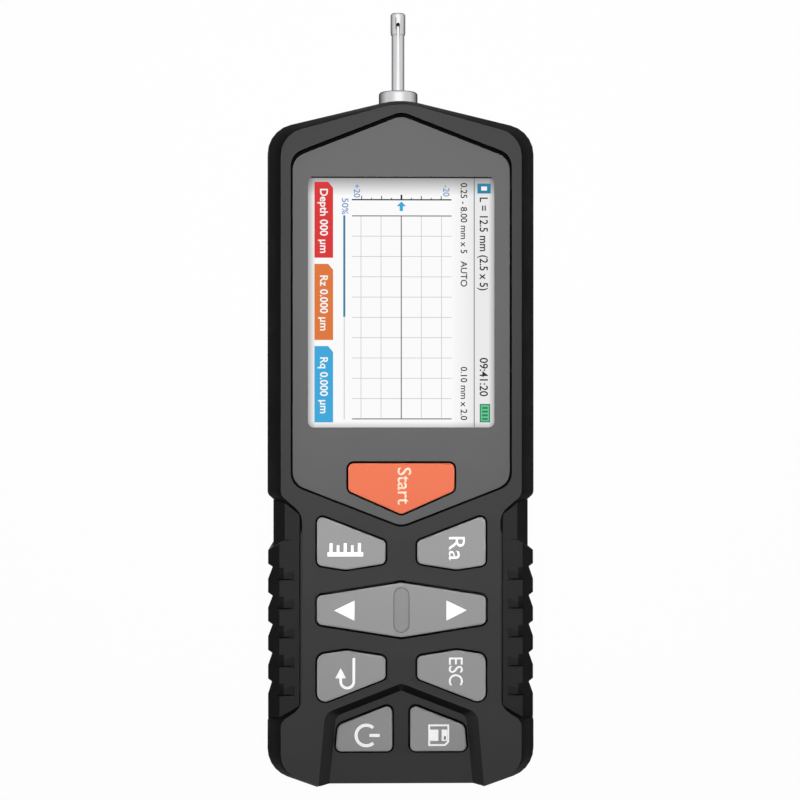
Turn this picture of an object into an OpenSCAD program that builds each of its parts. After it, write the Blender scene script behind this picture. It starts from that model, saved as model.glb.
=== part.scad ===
// Hand-held surface roughness tester, lying on its back.
// +Z is the screen's normal, +Y runs towards the pickup, and the origin is the middle of the back.

/* [Case] */
// Width of the case across its upper and lower ends
case_w = 55; // [52:0.5:62]
// Length of the case from its lower end to the point of its upper end
case_l = 142.2; // [140:0.2:156]
// Height of the front face above the back
case_h = 39; // [38:0.5:46]
// Thickness of the moulded walls
wall = 2.2; // [1.8:0.1:2.5]
// Height of the joint line between the two covers
part_h = 20; // [18.5:0.5:22]
// Width and depth of the groove along the joint line
joint_groove = 0.4; // [0.2:0.1:0.8]
// Fall of the upper end from its point to the sides, in degrees
end_slope = 13.5; // [10:0.5:16]
// Width of the straight part of the lower end
foot_w = 34.8; // [33:0.2:40]
// Rise of the lower corners above the lower end
foot_rise = 3.6; // [2:0.1:5]
// Rounding of the case's corners
corner_r = 6.2; // [3:0.1:8]
// Rounding of the point of the upper end
point_r = 16; // [8:1:24]
// Plan width of the bevel round the front face
bevel_w = 2.95; // [2:0.05:3.6]
// Height of the bevel round the front face
bevel_h = 6; // [4:0.5:8]
// Distance from the case's upper point to the front face's
bevel_tip = 1.5; // [1:0.1:3]
// Fall of the front face's upper edge, in degrees
face_slope = 15.4; // [13:0.2:17]
// Plan width of the bevel round the back
back_bevel = 2.5; // [1:0.1:3.5]
// Height of the bevel round the back
back_bevel_h = 3; // [1.5:0.5:5]

/* [Front panel] */
// Width of the grey front panel
panel_w = 44.3; // [43:0.1:46]
// Length of the front panel between its two points
panel_l = 83.7; // [82:0.1:86]
// Thickness of the front panel
panel_t = 1.6; // [1.2:0.1:2.2]
// Depth of the front panel's surface below the front face
panel_sink = 0.4; // [0.1:0.1:0.8]
// Gap round the front panel
panel_gap = 0.4; // [0.1:0.05:0.5]
// Gap along the front panel's upper edges
panel_top_gap = 0.8; // [0.3:0.1:1.2]
// Distance from the case's upper point to the panel's
panel_rim = 4.3; // [3.6:0.1:6]

/* [Screen] */
// Width of the screen window, across the case
screen_w = 38.1; // [34:0.1:39]
// Length of the screen window, along the case
screen_l = 51.2; // [46:0.1:52]
// Distance from the panel's upper point to the screen window
screen_drop = 12.4; // [11:0.1:14]
// Rounding of the window's corners
screen_r = 1.2; // [0.5:0.1:3]
// Thickness of the clear lens
lens_t = 0.9; // [0.6:0.1:1]
// Width of the lens's rim behind the panel
lens_rim = 1.2; // [0.6:0.1:1.4]
// Width of the display module's frame round the window
display_rim = 2.9; // [2:0.1:3]

/* [Keypad] */
// Width of the block of keys
keys_w = 34.3; // [32:0.1:35]
// Width of the strip between left and right keys
column_gap = 6.5; // [5:0.1:9]
// Slope of the panel's point and of the keys beside it, in degrees
pad_slope = 21.3; // [19:0.1:23]
// Slope of the rocker key's edges, in degrees
row_slope = 9; // [5:0.5:11]
// Distance of the bend in the upper and lower keys from the middle line
knee_x = 11.3; // [9:0.1:13]
// Strip between the panel's point and the upper keys
pad_web = 4.35; // [4:0.05:5]
// Strip between the rocker key and its neighbours
row_web = 4.45; // [3.6:0.05:5]
// Height of the upper and lower keys, carried to the middle line
key_root = 2.7; // [2.6:0.1:4]
// Height of the rocker key at its middle
rocker_h = 11.1; // [10.5:0.1:13]
// Rounding of the keys' corners
key_r = 1.1; // [0.6:0.1:1.6]
// Gap round each key
key_gap = 0.4; // [0.15:0.05:0.5]
// Height of the keys above the surface around them
key_proud = 0.8; // [0.4:0.1:1.6]
// Bevel round the top of each key
key_edge = 0.25; // [0.15:0.05:0.6]
// Travel of a pressed key
key_travel = 0.8; // [0.4:0.1:1]
// Width of the start key
start_w = 21.6; // [18:0.1:24]
// Height of the start key from its flat edge to its point
start_l = 10.4; // [9:0.1:10.8]
// Length of the start key's sides
start_side = 5.6; // [4:0.1:6.5]
// Distance from the screen window to the start key
start_drop = 7.3; // [6.5:0.1:7.8]
// Length of the finger groove in the rocker key
groove_l = 9; // [6:0.1:9.5]
// Width of the finger groove in the rocker key
groove_w = 3; // [2:0.1:5]
// Depth of the finger groove in the rocker key
groove_d = 0.5; // [0.2:0.1:0.7]

/* [Chevron recess] */
// Strip between the lower keys and the recess
recess_web = 2.3; // [1.9:0.05:3]
// Depth of the recess below the front face
recess_d = 2; // [1:0.1:2.2]
// Plan width of the recess's sloped upper wall
recess_wall = 1.75; // [1:0.05:2]
// Plan width of the recess's sloped side walls
recess_side = 2.2; // [1.5:0.05:2.4]
// Width of the recess at its upper corners
recess_w = 31.1; // [30:0.1:33]
// Width of the recess at the lower end of the case
recess_foot_w = 34; // [33:0.1:36]
// Strip between the recess's floor edge and its keys
recess_margin = 1.95; // [1.6:0.05:2.2]
// Strip between the two keys in the recess
recess_key_gap = 3.7; // [2.5:0.1:5]
// Height of the keys in the recess, carried to the middle line
recess_key_h = 10.4; // [9:0.1:12]
// Depth of the channel that carries the recess on down the lower end
channel_d = 1.4; // [0.3:0.1:1.6]
// Width across both keys in the recess, along their lower edge
recess_keys_w = 26.9; // [25:0.1:27.6]

/* [Grips] */
// Length of the gap in the front face's edge that holds a grip
grip_l = 46.1; // [45:0.1:48]
// Fall of the front face's edge above a grip
grip_top_fall = 3.8; // [3:0.1:4.4]
// Rise of the front face's edge below a grip
grip_low_rise = 2.8; // [2:0.1:3.6]
// Rounding where these edges meet the raised keypad
grip_corner_r = 4; // [2:0.5:5]
// Half width of the raised keypad between the grips
pad_half = 20.2; // [20:0.1:20.6]
// Thickness of the grips below their front flange, at the case's full width
grip_t = 4.9; // [4:0.1:5]
// Width of the case across the grips' ribs
grip_w = 54.8; // [53:0.2:60]
// Width of the case across the plain waist above the ribs
waist_w = 52.6; // [51:0.2:53]
// Length of the plain waist
waist_l = 9.2; // [6:0.1:11]
// Depth of a notch between ribs
notch_d = 1; // [0.5:0.1:1.4]
// Distance from notch to notch
notch_pitch = 5.93; // [5.5:0.01:6]
// Number of notches in each grip
notch_n = 5; // [3:1:5]
// Length of a rib's flat
rib_flat = 2.8; // [2:0.1:3.5]
// Step of the grips' front below the front face
shoulder_step = 1.3; // [1:0.1:2.6]
// Fall of the grips' front towards the sides
shoulder_fall = 0.7; // [0.2:0.1:1]
// Plan width of the bevel along the grips' edges
grip_bevel = 2.5; // [1.5:0.1:3]
// Thickness of the grips' front flange
flange_t = 3; // [2:0.1:3.5]

/* [Pickup] */
// Height of the pickup's axis above the back
pickup_h = 7; // [6.9:0.1:7.6]
// Diameter of the pickup's body
pickup_d = 8.5; // [8:0.1:8.6]
// Length of the pickup's body
pickup_l = 30.2; // [28:0.2:34]
// Length of the body that stands out of the case
collar_out = 5.1; // [3:0.1:8]
// Drop of the nose tube's axis below the body's
nose_drop = 2.6; // [2:0.1:2.7]
// Diameter of the nose tube
tube_d = 2.8; // [2.6:0.05:3]
// Bore of the nose tube
tube_bore = 1.9; // [1.7:0.05:2]
// Length of the nose from the body to its tip
nose_l = 17.8; // [17.6:0.1:24]
// Diameter of the tip sleeve
sleeve_d = 3.25; // [3.15:0.05:3.6]
// Length of the tip sleeve
sleeve_l = 4.8; // [4.4:0.1:6]
// Distance of the stylus from the tip
stylus_back = 2.65; // [2.2:0.05:2.8]
// Height of the skid's sole above the plane that the case lies on
skid_h = 0.5; // [0.3:0.1:0.9]
// Height of the stylus point above that plane, hanging free
stylus_h = 0.15; // [0.1:0.05:0.3]
// Diameter of the pickup's plug
plug_d = 5.6; // [5:0.1:6]
// Length of the pickup's plug
plug_l = 7; // [5:0.5:8]

/* [Traverse drive] */
// Travel of the pickup into the case
traverse = 17.5; // [10:0.5:17.5]
// Distance between the two guide rods
rod_pitch = 28; // [27.5:0.5:30]
// Diameter of the guide rods
rod_d = 3; // [2:0.1:3.4]
// Diameter of the lead screw
screw_d = 3; // [2:0.1:3.4]
// Distance of the lead screw from the middle line
screw_x = 8; // [7.6:0.1:8.2]
// Height of the lead screw above the back
screw_h = 10.5; // [10.3:0.1:10.8]
// Length of the carriage along the case
carriage_l = 12; // [9:0.5:13]
// Width of the carriage
carriage_w = 35; // [35:0.5:37]
// Diameter of the motor and its gearbox
motor_d = 12; // [10:0.5:12]
// Length of the motor
motor_l = 18; // [14:0.5:22]
// Length of the gearbox
gearbox_l = 9; // [7:0.5:11]
// Thickness of the drive frame's end plates
end_plate_t = 3; // [2:0.1:3.5]
// Thickness of the drive frame's bridge
bridge_t = 1.6; // [1:0.1:1.8]

/* [Inside] */
// Thickness of the circuit board
board_t = 1.6; // [1:0.1:1.8]
// Thickness of the keypad mat
mat_t = 1; // [0.6:0.1:1.2]
// Width of the battery pack
battery_w = 34; // [28:0.5:36]
// Length of the battery pack
battery_l = 54; // [44:0.5:56]
// Height of the battery pack
battery_t = 10.5; // [8:0.5:11]
// Diameter of the case screws
case_screw_d = 2.5; // [2:0.1:3]
// Diameter of the case screws' heads
screw_head_d = 4.6; // [4:0.1:4.8]
// Diameter of the screw bosses
boss_d = 6.4; // [6:0.1:7]
// Width of the charging socket's shell
socket_w = 8.9; // [8:0.1:9.4]
// Height of the charging socket's shell
socket_h = 3.2; // [3:0.1:3.6]

/* [Hidden] */
$fn = 48;

// Points on each rounded corner, and the least rounding of an inset outline
arc_steps = 5;
least_r = 0.2;
// Short upright land at the thin edge of a bevel
edge_land = 0.3;
// Slack of pieces that lie against each other, of a press fit and of a running fit
lay_gap = 0.1;
press_gap = 0.02;
run_gap = 0.05;
// Overshoot of a cut past the face that it opens
cut = 1;

// Heights of the front
bevel_z = case_h - bevel_h;
pocket_z = case_h - panel_sink - panel_t;
ceiling_z = pocket_z - wall;
pad_ceiling_z = case_h - wall;
recess_z = case_h - recess_d;
recess_ceiling_z = recess_z - wall;
shoulder_z = case_h - shoulder_step;
ledge_z = shoulder_z - flange_t - lay_gap;

// Outline of the case at its widest and of the front face, right half from below to above
top_y = case_l / 2;
low_y = -case_l / 2;
half_w = case_w / 2;
face_half = half_w - bevel_w;
pad_wall = 1.6;
pad_rake = 0.5;
pad_foot = pad_half + pad_rake;
core_half = half_w - grip_t;
// Runs of the narrow core and of its hollow into the case's wide ends
core_run = 4;
cavity_run = 7;
foot_bevel = 1.1;
// Roundings of the ends beside the grips, of the corners buried in the core and of the lower end
wide_waist_r = 1.5;
face_waist_r = 2;
buried_r = 1;
foot_r = 0.6;
// How much less the front face's corners and point are rounded than the case's
face_corner_less = 0.7;
face_point_less = 2;
foot_corner_less = 1.2;
// Roundings of the front panel and of the recess at its brim and at its floor
panel_corner_r = 3.5;
panel_point_r = 4;
recess_corner_r = 2.5;
recess_point_r = 2;
floor_corner_r = 1.8;
floor_point_r = 1.2;

// Places along the case, from its upper point down
panel_top = top_y - panel_rim;
panel_low = panel_top - panel_l;
screen_top = panel_top - screen_drop;
screen_y = screen_top - screen_l / 2;
start_top = screen_top - screen_l - start_drop;
start_low = start_top - start_l;
pad_tan = tan(pad_slope);
row_tan = tan(row_slope);
pad_y = panel_low - pad_web - key_root - row_web - rocker_h / 2;
recess_top = pad_y - rocker_h / 2 - row_web - key_root - recess_web;
recess_key_top = recess_top - recess_wall - recess_margin;
recess_key_low = recess_key_top - recess_key_h;
grip_shift = 0.3;
grip_top = pad_y + grip_shift + grip_l / 2;
grip_low = pad_y + grip_shift - grip_l / 2;
// Longer fall of the same edges at the case's full width
wide_run = (half_w - pad_half) / (face_half - pad_half);

// Stack of the keys, the mat and the board below the keypad
key_rim = 0.8;
key_rim_t = 1;
key_lift = 0.2;
key_stem_l = 2.2;
key_stem_d = 4;
rocker_stem_in = 4;
mat_pad_h = 0.3;
mat_lap = 1.5;
mat_out = 1;
mat_reach = 3;
mat_r = 1;
// Webs round the room under the keypad, towards the recess and the front panel's point
room_low_web = 0.9;
room_top_web = 2;
stem_z = pad_ceiling_z - key_lift - key_rim_t - key_stem_l;
mat_top_z = stem_z - key_travel - key_lift;
board_top_z = mat_top_z - mat_pad_h - mat_t;
board_z = board_top_z - board_t;
// Rocker key's pivot
pivot_drop = 2.2;
pivot_z = pad_ceiling_z - pivot_drop;
pivot_d = 2;
pivot_l = 2;
keel_in = 1;
lug_t = 1.6;
lug_w = 3.6;

// Pickup, from its tip down into the case
nose_h = pickup_h - nose_drop;
collar_y = top_y + collar_out;
tip_y = collar_y + nose_l;
stylus_y = tip_y - stylus_back;
shoulder_y = collar_y - pickup_l;
tube_seat = 10;
collar_edge = 0.6;
hinge_back = 4;
hinge_y = collar_y - hinge_back;
hinge_d = 0.8;
pin_gap = 0.1;
arm_d = 0.8;
arm_tail = 2;
arm_head = 0.6;
shank_d = 0.6;
point_l = 0.75;
point_d = 0.06;
stylus_hole = 1.3;
keyhole_w = 0.8;
sleeve_end_t = 0.6;
sleeve_edge = 0.3;
sleeve_lip = 0.1;
sleeve_lip_l = 0.5;
skid_d = 2.4;
skid_toe = 0.6;
skid_toe_in = 0.42;

// Traverse drive, from the pickup's plug down
socket_seat = 0.3;
socket_slim = 0.15;
socket_d = pickup_d - 2 * socket_slim;
socket_base = 2.7;
frame_clear = 1;
stop_gap = 3.5;
frame_gap = 0.4;
carriage_gap = 0.8;
bridge_rise = 4.7;
carriage_front = shoulder_y - plug_l - socket_base;
carriage_back = carriage_front - carriage_l;
frame_front = shoulder_y + frame_clear + end_plate_t;
frame_back = carriage_back - traverse - stop_gap - end_plate_t;
carriage_z = wall + carriage_gap;
bridge_z = screw_h + bridge_rise;
carriage_top = bridge_z - carriage_gap;
slide_wall = 1;
bush_d = rod_d + 2 * slide_wall;
nut_wall = 1.5;
nut_d = screw_d + 2 * nut_wall;
nut_collar_rim = 0.5;
nut_collar_d = nut_d + 2 * nut_collar_rim;
nut_collar_t = 1.2;
screw_seat = 3.5;
screw_end_gap = 0.5;
motor_cap = 1.5;
// Bush in the upper end wall, the ring that holds it and the hole in front of it
bush_wall = 1.25;
bush_l = 3.2;
bush_cover = 1.9;
bush_y = top_y - bush_cover - bush_l;
bush_ring = 1.2;
nose_gap = 0.5;

// Battery, screws and socket
battery_rise = 0.7;
battery_z = bridge_z + bridge_t + battery_rise;
battery_y = frame_back - battery_l / 2;
battery_r = 2;
battery_post_d = 4;
battery_post_in = 0.5;
battery_post_end = 5;
start_post_gap = 5;
boss_top_in = [6, 10.3];
boss_low_in = [5, 9.6];
boss_top = [face_half - boss_top_in.x, top_y - boss_top_in.y];
boss_low = [face_half - boss_low_in.x, low_y + boss_low_in.y];
head_z = 8;
head_t = 1.8;
head_gap = 0.3;
cross_w = 0.8;
cross_d = 1;
shank_gap = 0.2;
screw_bite = 10;
screw_tip_gap = 1;
board_r = 1;
board_gap = 0.8;
board_margin = 1;
board_end_gap = 1.2;
socket_l = 7.3;
socket_t = 0.3;
socket_sink = 0.3;
socket_gap = 0.35;
socket_floor = 1;
tongue_t = 0.7;
tongue_in = 1.1;
tongue_back = 1;

// Unit vector square to the edge from a to b, pointing into the outline
function inward(a, b) = [a.y - b.y, b.x - a.x] / norm([b.x - a.x, b.y - a.y]);
function xy(p) = [p.x, p.y];
function before(p, i) = p[(i + len(p) - 1) % len(p)];
function after(p, i) = p[(i + 1) % len(p)];
function turned(v, a) = [v.x * cos(a) - v.y * sin(a), v.x * sin(a) + v.y * cos(a)];

// Outline of [x, y, rounding] corners with every edge moved in by d
function inset(p, d) = [for (i = [0:len(p) - 1])
    let (n = inward(before(p, i), p[i]))
    let (m = inward(p[i], after(p, i)))
    let (q = xy(p[i]) + d * (n + m) / (1 + n * m))
    [q.x, q.y, max(least_r, p[i].z - d)]];

// Points of one rounded corner
function arc(a, b, c, r) =
    let (n = inward(a, b))
    let (m = inward(b, c))
    let (turn = atan2(cross(n, m), n * m))
    let (side = sign(turn))
    let (centre = xy(b) + side * r * (n + m) / (1 + n * m))
    [for (k = [0:arc_steps]) centre - side * r * turned(n, turn * k / arc_steps)];

// Whole outline with its corners rounded
function rounded(p) = [for (i = [0:len(p) - 1]) each arc(before(p, i), p[i], after(p, i), p[i].z)];

// Right half of an outline, listed from below to above, with its mirror image
function both_sides(p) = concat(p,
    [for (i = [len(p) - 1:-1:0]) if (p[i].x > 0) [-p[i].x, p[i].y, p[i].z]]);

// Rectangle about the point c
function rectangle(c, w, l, r) = [
    [c.x + w / 2, c.y - l / 2, r], [c.x + w / 2, c.y + l / 2, r],
    [c.x - w / 2, c.y + l / 2, r], [c.x - w / 2, c.y - l / 2, r]];

// Upper and lower ends of the case, at their widest and at the front face
upper_wide = both_sides([
    [pad_half, grip_top - grip_top_fall * wide_run, buried_r],
    [half_w, grip_top, wide_waist_r],
    [half_w, top_y - half_w * tan(end_slope), corner_r],
    [0, top_y, point_r]]);
upper_face = both_sides([
    [pad_half, grip_top - grip_top_fall, buried_r],
    [face_half, grip_top, face_waist_r],
    [face_half, top_y - bevel_tip - face_half * tan(face_slope), corner_r - face_corner_less],
    [0, top_y - bevel_tip, point_r - face_point_less]]);
lower_wide = both_sides([
    [foot_w / 2, low_y, foot_r],
    [half_w, low_y + foot_rise, corner_r],
    [half_w, grip_low, wide_waist_r],
    [pad_half, grip_low + grip_low_rise * wide_run, buried_r]]);
lower_face = both_sides([
    [foot_w / 2 - foot_bevel, low_y + foot_bevel, foot_r],
    [face_half, low_y + foot_rise + foot_bevel / 2, corner_r - foot_corner_less],
    [face_half, grip_low, face_waist_r],
    [pad_half, grip_low + grip_low_rise, buried_r]]);

// Front panel's outline, grown by the gaps round its sides and along its upper edges
function panel_outline(side_gap, top_gap) = both_sides([
    [0, panel_low - side_gap / cos(pad_slope), panel_point_r],
    [panel_w / 2 + side_gap, panel_low - side_gap / cos(pad_slope) + (panel_w / 2 + side_gap) * pad_tan,
        panel_corner_r],
    [panel_w / 2 + side_gap, panel_top + top_gap / cos(pad_slope) - (panel_w / 2 + side_gap) * pad_tan,
        panel_corner_r],
    [0, panel_top + top_gap / cos(pad_slope), panel_point_r]]);

// Screen window's outline, grown by a rim
function window(rim) = rectangle([0, screen_y], screen_w + 2 * rim, screen_l + 2 * rim, screen_r);

// Keys' outlines
key_in = column_gap / 2;
key_out = keys_w / 2;
upper_root = pad_y + rocker_h / 2 + row_web;
lower_root = pad_y - rocker_h / 2 - row_web;
upper_key = [
    [key_in, upper_root - key_in * row_tan, key_r],
    [knee_x, upper_root - knee_x * row_tan, 4 * key_r],
    [key_out, upper_root - (2 * knee_x - key_out) * row_tan, key_r],
    [key_out, upper_root + key_root + key_out * pad_tan, key_r],
    [key_in, upper_root + key_root + key_in * pad_tan, key_r]];
lower_key = [
    [key_in, lower_root - key_root - key_in * pad_tan, key_r],
    [key_out, lower_root - key_root - key_out * pad_tan, 1.5 * key_r],
    [key_out, lower_root + (2 * knee_x - key_out) * row_tan, 1.5 * key_r],
    [knee_x, lower_root + knee_x * row_tan, 4 * key_r],
    [key_in, lower_root + key_in * row_tan, key_r]];
rocker_outline = both_sides([
    [0, pad_y - rocker_h / 2, 2 * key_r],
    [key_out, pad_y - rocker_h / 2 + key_out * row_tan, key_r],
    [key_out, pad_y + rocker_h / 2 - key_out * row_tan, key_r],
    [0, pad_y + rocker_h / 2, 2 * key_r]]);
start_outline = both_sides([
    [0, start_low, 1.2 * key_r],
    [start_w / 2, start_top - start_side, key_r],
    [start_w / 2, start_top, key_r]]);
recess_lean = (recess_foot_w - recess_w) / 2 / (recess_top - recess_w / 2 * pad_tan - low_y);
recess_outline = both_sides([
    [recess_foot_w / 2 + recess_lean * 2 * cut, low_y - 2 * cut, least_r],
    [recess_w / 2, recess_top - recess_w / 2 * pad_tan, recess_corner_r],
    [0, recess_top, recess_point_r]]);
recess_floor = both_sides([
    [recess_foot_w / 2 - recess_side + recess_lean * 2 * cut, low_y - 2 * cut, least_r],
    [recess_w / 2 - recess_side, recess_top - recess_wall - (recess_w / 2 - recess_side) * pad_tan,
        floor_corner_r],
    [0, recess_top - recess_wall, floor_point_r]]);
recess_key_out = recess_keys_w / 2 - recess_lean * (recess_key_h - recess_keys_w / 2 * pad_tan);
recess_key = [
    [recess_key_gap / 2, recess_key_low, key_r],
    [recess_keys_w / 2, recess_key_low, key_r],
    [recess_key_out, recess_key_top - recess_key_out * pad_tan, 1.5 * key_r],
    [recess_key_gap / 2, recess_key_top - recess_key_gap / 2 * pad_tan, key_r]];
// Room under the keypad's top plate, between the panel's pocket and the recess
room_half = pad_half - pad_wall;
room_low = recess_top + room_low_web;
room_top = panel_low - room_top_web;
room_fall = room_half * pad_tan;
pad_room = [
    [0, room_low], [room_half, room_low - room_fall], [room_half, room_top + room_fall],
    [0, room_top], [-room_half, room_top + room_fall], [-room_half, room_low - room_fall]];
// Section of the front cover's narrow middle with the raised keypad
core_section = [
    [core_half, part_h], [core_half, ledge_z], [pad_foot, ledge_z], [pad_foot, shoulder_z],
    [pad_half, case_h], [-pad_half, case_h],
    [-pad_foot, shoulder_z], [-pad_foot, ledge_z], [-core_half, ledge_z], [-core_half, part_h]];

// Plan of the hollow between the grips, out to half width w
function core_room(w) = rectangle([0, (grip_top + grip_low) / 2], 2 * w, grip_l + 2 * cavity_run, least_r);

// Upright plate with a rounded outline
module plate(p, z0, z1) translate([0, 0, z0]) linear_extrude(z1 - z0) polygon(rounded(p));

// Upright block from z0 whose edge is bevelled between zb and z1
module bevelled(wide, face, z0, zb, z1) hull() {
    plate(wide, z0, zb);
    plate(face, z1 - edge_land, z1);
}

// Bar along the case from y0 to y1, with a section of [x, z] points
module bar(section, y0, y1) translate([0, y1, 0]) rotate([90, 0, 0])
    linear_extrude(y1 - y0) polygon(section);

// Round rod along the case from y0 to y1, about the point [x, z]
module rod(at, d, y0, y1) translate([at.x, y0, at.y]) rotate([-90, 0, 0]) cylinder(d = d, h = y1 - y0);

// The four case screws' places
module at_bosses() for (side = [-1, 1]) {
    translate([side * boss_top.x, boss_top.y, 0]) children();
    translate([side * boss_low.x, boss_low.y, 0]) children();
}

// The rocker key's pivot places, above and below the key
module at_pivots(gap) for (side = [0, 1]) translate([0, pad_y, pivot_z]) mirror([0, side, 0])
    translate([0, rocker_h / 2 + key_gap + gap, 0]) rotate([-90, 0, 0]) children();

module front_shell() {
    bevelled(upper_wide, upper_face, part_h, bevel_z, case_h);
    bevelled(lower_wide, lower_face, part_h, bevel_z, case_h);
    bar(core_section, grip_low - core_run, grip_top + core_run);
    for (side = [0, 1]) mirror([side, 0, 0]) {
        corner_fill([face_half, grip_top], [pad_half, grip_top - grip_top_fall]);
        corner_fill([face_half, grip_low], [pad_half, grip_low + grip_low_rise]);
    }
}

// Rounded fill in the corner b between the sloped edge from a and the keypad's edge
module corner_fill(a, b) translate([0, 0, ledge_z]) linear_extrude(case_h - ledge_z)
    polygon(concat([b - [cut, 0]], arc(a, b, [pad_half, pad_y], grip_corner_r)));

module front_cavity() {
    bevelled(inset(upper_wide, wall), inset(upper_face, wall), part_h - cut, bevel_z - wall, ceiling_z);
    bevelled(inset(lower_wide, wall), inset(lower_face, wall), part_h - cut, bevel_z - wall,
        recess_ceiling_z);
    plate(core_room(core_half - wall), part_h - cut, ledge_z - wall);
    plate(core_room(room_half), part_h - cut, recess_ceiling_z);
    translate([0, 0, part_h]) linear_extrude(pad_ceiling_z - part_h) polygon(pad_room);
}

module front_inner_posts() {
    end_wall(part_h, recess_ceiling_z + cut);
    at_bosses() translate([0, 0, part_h]) cylinder(d = boss_d, h = ceiling_z + cut - part_h);
    for (side = [-1, 1]) translate([side * (start_w / 2 + start_post_gap), start_top, board_top_z])
        cylinder(d = battery_post_d, h = ceiling_z + cut - board_top_z);
    at_pivots(key_gap) translate([-lug_w / 2, -pad_ceiling_z + pivot_z - cut, 0])
        cube([lug_w, pad_ceiling_z - pivot_z + cut + pivot_d, lug_t]);
}

module key_holes() {
    plate(inset(start_outline, -key_gap), ceiling_z - cut, case_h + cut);
    plate(inset(rocker_outline, -key_gap - lay_gap), pad_ceiling_z - cut / 2, case_h + cut);
    for (side = [0, 1]) mirror([side, 0, 0]) {
        plate(inset(upper_key, -key_gap), pad_ceiling_z - cut, case_h + cut);
        plate(inset(lower_key, -key_gap), pad_ceiling_z - cut, case_h + cut);
        plate(inset(recess_key, -key_gap), recess_ceiling_z - cut, case_h + cut);
    }
}

// Shallow channel down the lower end, from the front face's lower edge in to its own depth
module end_channel() translate([0, low_y, -cut]) linear_extrude(case_h + 2 * cut) polygon([
    [-recess_foot_w / 2, -cut], [recess_foot_w / 2, -cut], [recess_foot_w / 2, foot_bevel],
    [recess_foot_w / 2 - recess_side, channel_d], [recess_side - recess_foot_w / 2, channel_d],
    [-recess_foot_w / 2, foot_bevel]]);

// Wall behind the channel
module end_wall(z0, z1)
    plate(rectangle([0, low_y + channel_d + wall / 2], recess_foot_w, wall, least_r), z0, z1);

module socket_slot(grow, y0, y1) hull() for (side = [-1, 1])
    rod([side * (socket_w - socket_h) / 2, board_z - socket_h / 2], socket_h + 2 * grow, y0, y1);

module front_cover() color("#3f3f41") difference() {
    union() {
        difference() {
            front_shell();
            front_cavity();
        }
        front_inner_posts();
    }
    plate(panel_outline(panel_gap, panel_top_gap), pocket_z, case_h + cut);
    plate(window(lens_rim), ceiling_z - cut, pocket_z + cut);
    key_holes();
    hull() {
        plate(recess_outline, case_h, case_h + cut);
        plate(recess_floor, recess_z, recess_z + edge_land);
    }
    end_channel();
    at_bosses() translate([0, 0, part_h - cut])
        cylinder(d = case_screw_d + 2 * run_gap, h = screw_bite + cut);
    at_pivots(-cut) cylinder(d = pivot_d + 2 * run_gap, h = 4 * cut + lug_t);
    socket_slot(socket_gap, low_y - cut, low_y + channel_d + wall + cut);
}

module rear_cover() color("#323234") difference() {
    union() {
        difference() {
            union() {
                for (end = [upper_wide, lower_wide]) {
                    hull() {
                        plate(inset(end, back_bevel), 0, edge_land);
                        plate(end, back_bevel_h, part_h - joint_groove);
                    }
                    plate(inset(end, joint_groove), part_h - joint_groove - edge_land, part_h);
                }
                bar([[-core_half, 0], [core_half, 0], [core_half, part_h], [-core_half, part_h]],
                    grip_low - core_run, grip_top + core_run);
                bar([[-core_half - back_bevel, 0], [core_half + back_bevel, 0],
                    [grip_w / 2 - grip_toe, wall], [grip_toe - grip_w / 2, wall]],
                    grip_low - floor_run, grip_top + floor_run);
            }
            for (end = [upper_wide, lower_wide]) plate(inset(end, wall), wall, part_h + cut);
            plate(core_room(core_half - wall), wall, part_h + cut);
        }
        at_bosses() cylinder(d = boss_d, h = part_h);
        end_wall(wall / 2, part_h);
        rod([0, pickup_h], pickup_d + 2 * (bush_wall + bush_ring), bush_y, bush_y + bush_l - bush_ring);
        for (side = [-1, 1], end = [-1, 1])
            translate([side * (battery_w / 2 - battery_post_in),
                battery_y + end * (battery_l / 2 - battery_post_end), wall / 2])
                cylinder(d = battery_post_d, h = battery_z - wall / 2);
    }
    at_bosses() {
        translate([0, 0, -cut]) cylinder(d = case_screw_d + 2 * shank_gap, h = part_h + 2 * cut);
        translate([0, 0, -cut]) cylinder(d = screw_head_d + 2 * head_gap, h = head_z + cut);
    }
    rod([0, pickup_h], pickup_d + 2 * bush_wall + 2 * press_gap, bush_y - cut, bush_y + bush_l);
    rod([0, pickup_h], pickup_d + 2 * nose_gap, bush_y, top_y + cut);
    end_channel();
}

// Chamfer along the back of the grips
grip_toe = 1.2;
grip_toe_h = 2.4;
floor_run = 1;

// Section of a grip whose side lies at half width w
function grip_section(w) = [
    [core_half + lay_gap, wall + lay_gap],
    [w - grip_toe, wall + lay_gap],
    [w, wall + lay_gap + grip_toe_h],
    [w, bevel_z],
    [w - grip_bevel, shoulder_z - shoulder_fall],
    [pad_foot + lay_gap, shoulder_z],
    [pad_foot + lay_gap, ledge_z + lay_gap],
    [core_half + lay_gap, ledge_z + lay_gap]];

// Top of the ribs and place of each notch's step
rib_top = grip_top - waist_l;
rib_rise = 2.4;
rib_start = rib_top - rib_rise;
notch_y = [for (i = [0:notch_n - 1]) rib_start - rib_flat - i * notch_pitch];
notch_step = 0.5;
notch_ramp = notch_pitch - rib_flat;
// Plain strip beside the keypad and depth of the notches over the shoulder
shoulder_flat = 1.7;
shoulder_notch = 0.7;

// Notch outline: a steep step above and a long ramp below, cut depth d into the face at c
function notch(c, d, y) = [
    [c + cut, y], [c, y], [c - d, y - notch_step], [c, y - notch_ramp], [c + cut, y - notch_ramp]];

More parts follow.
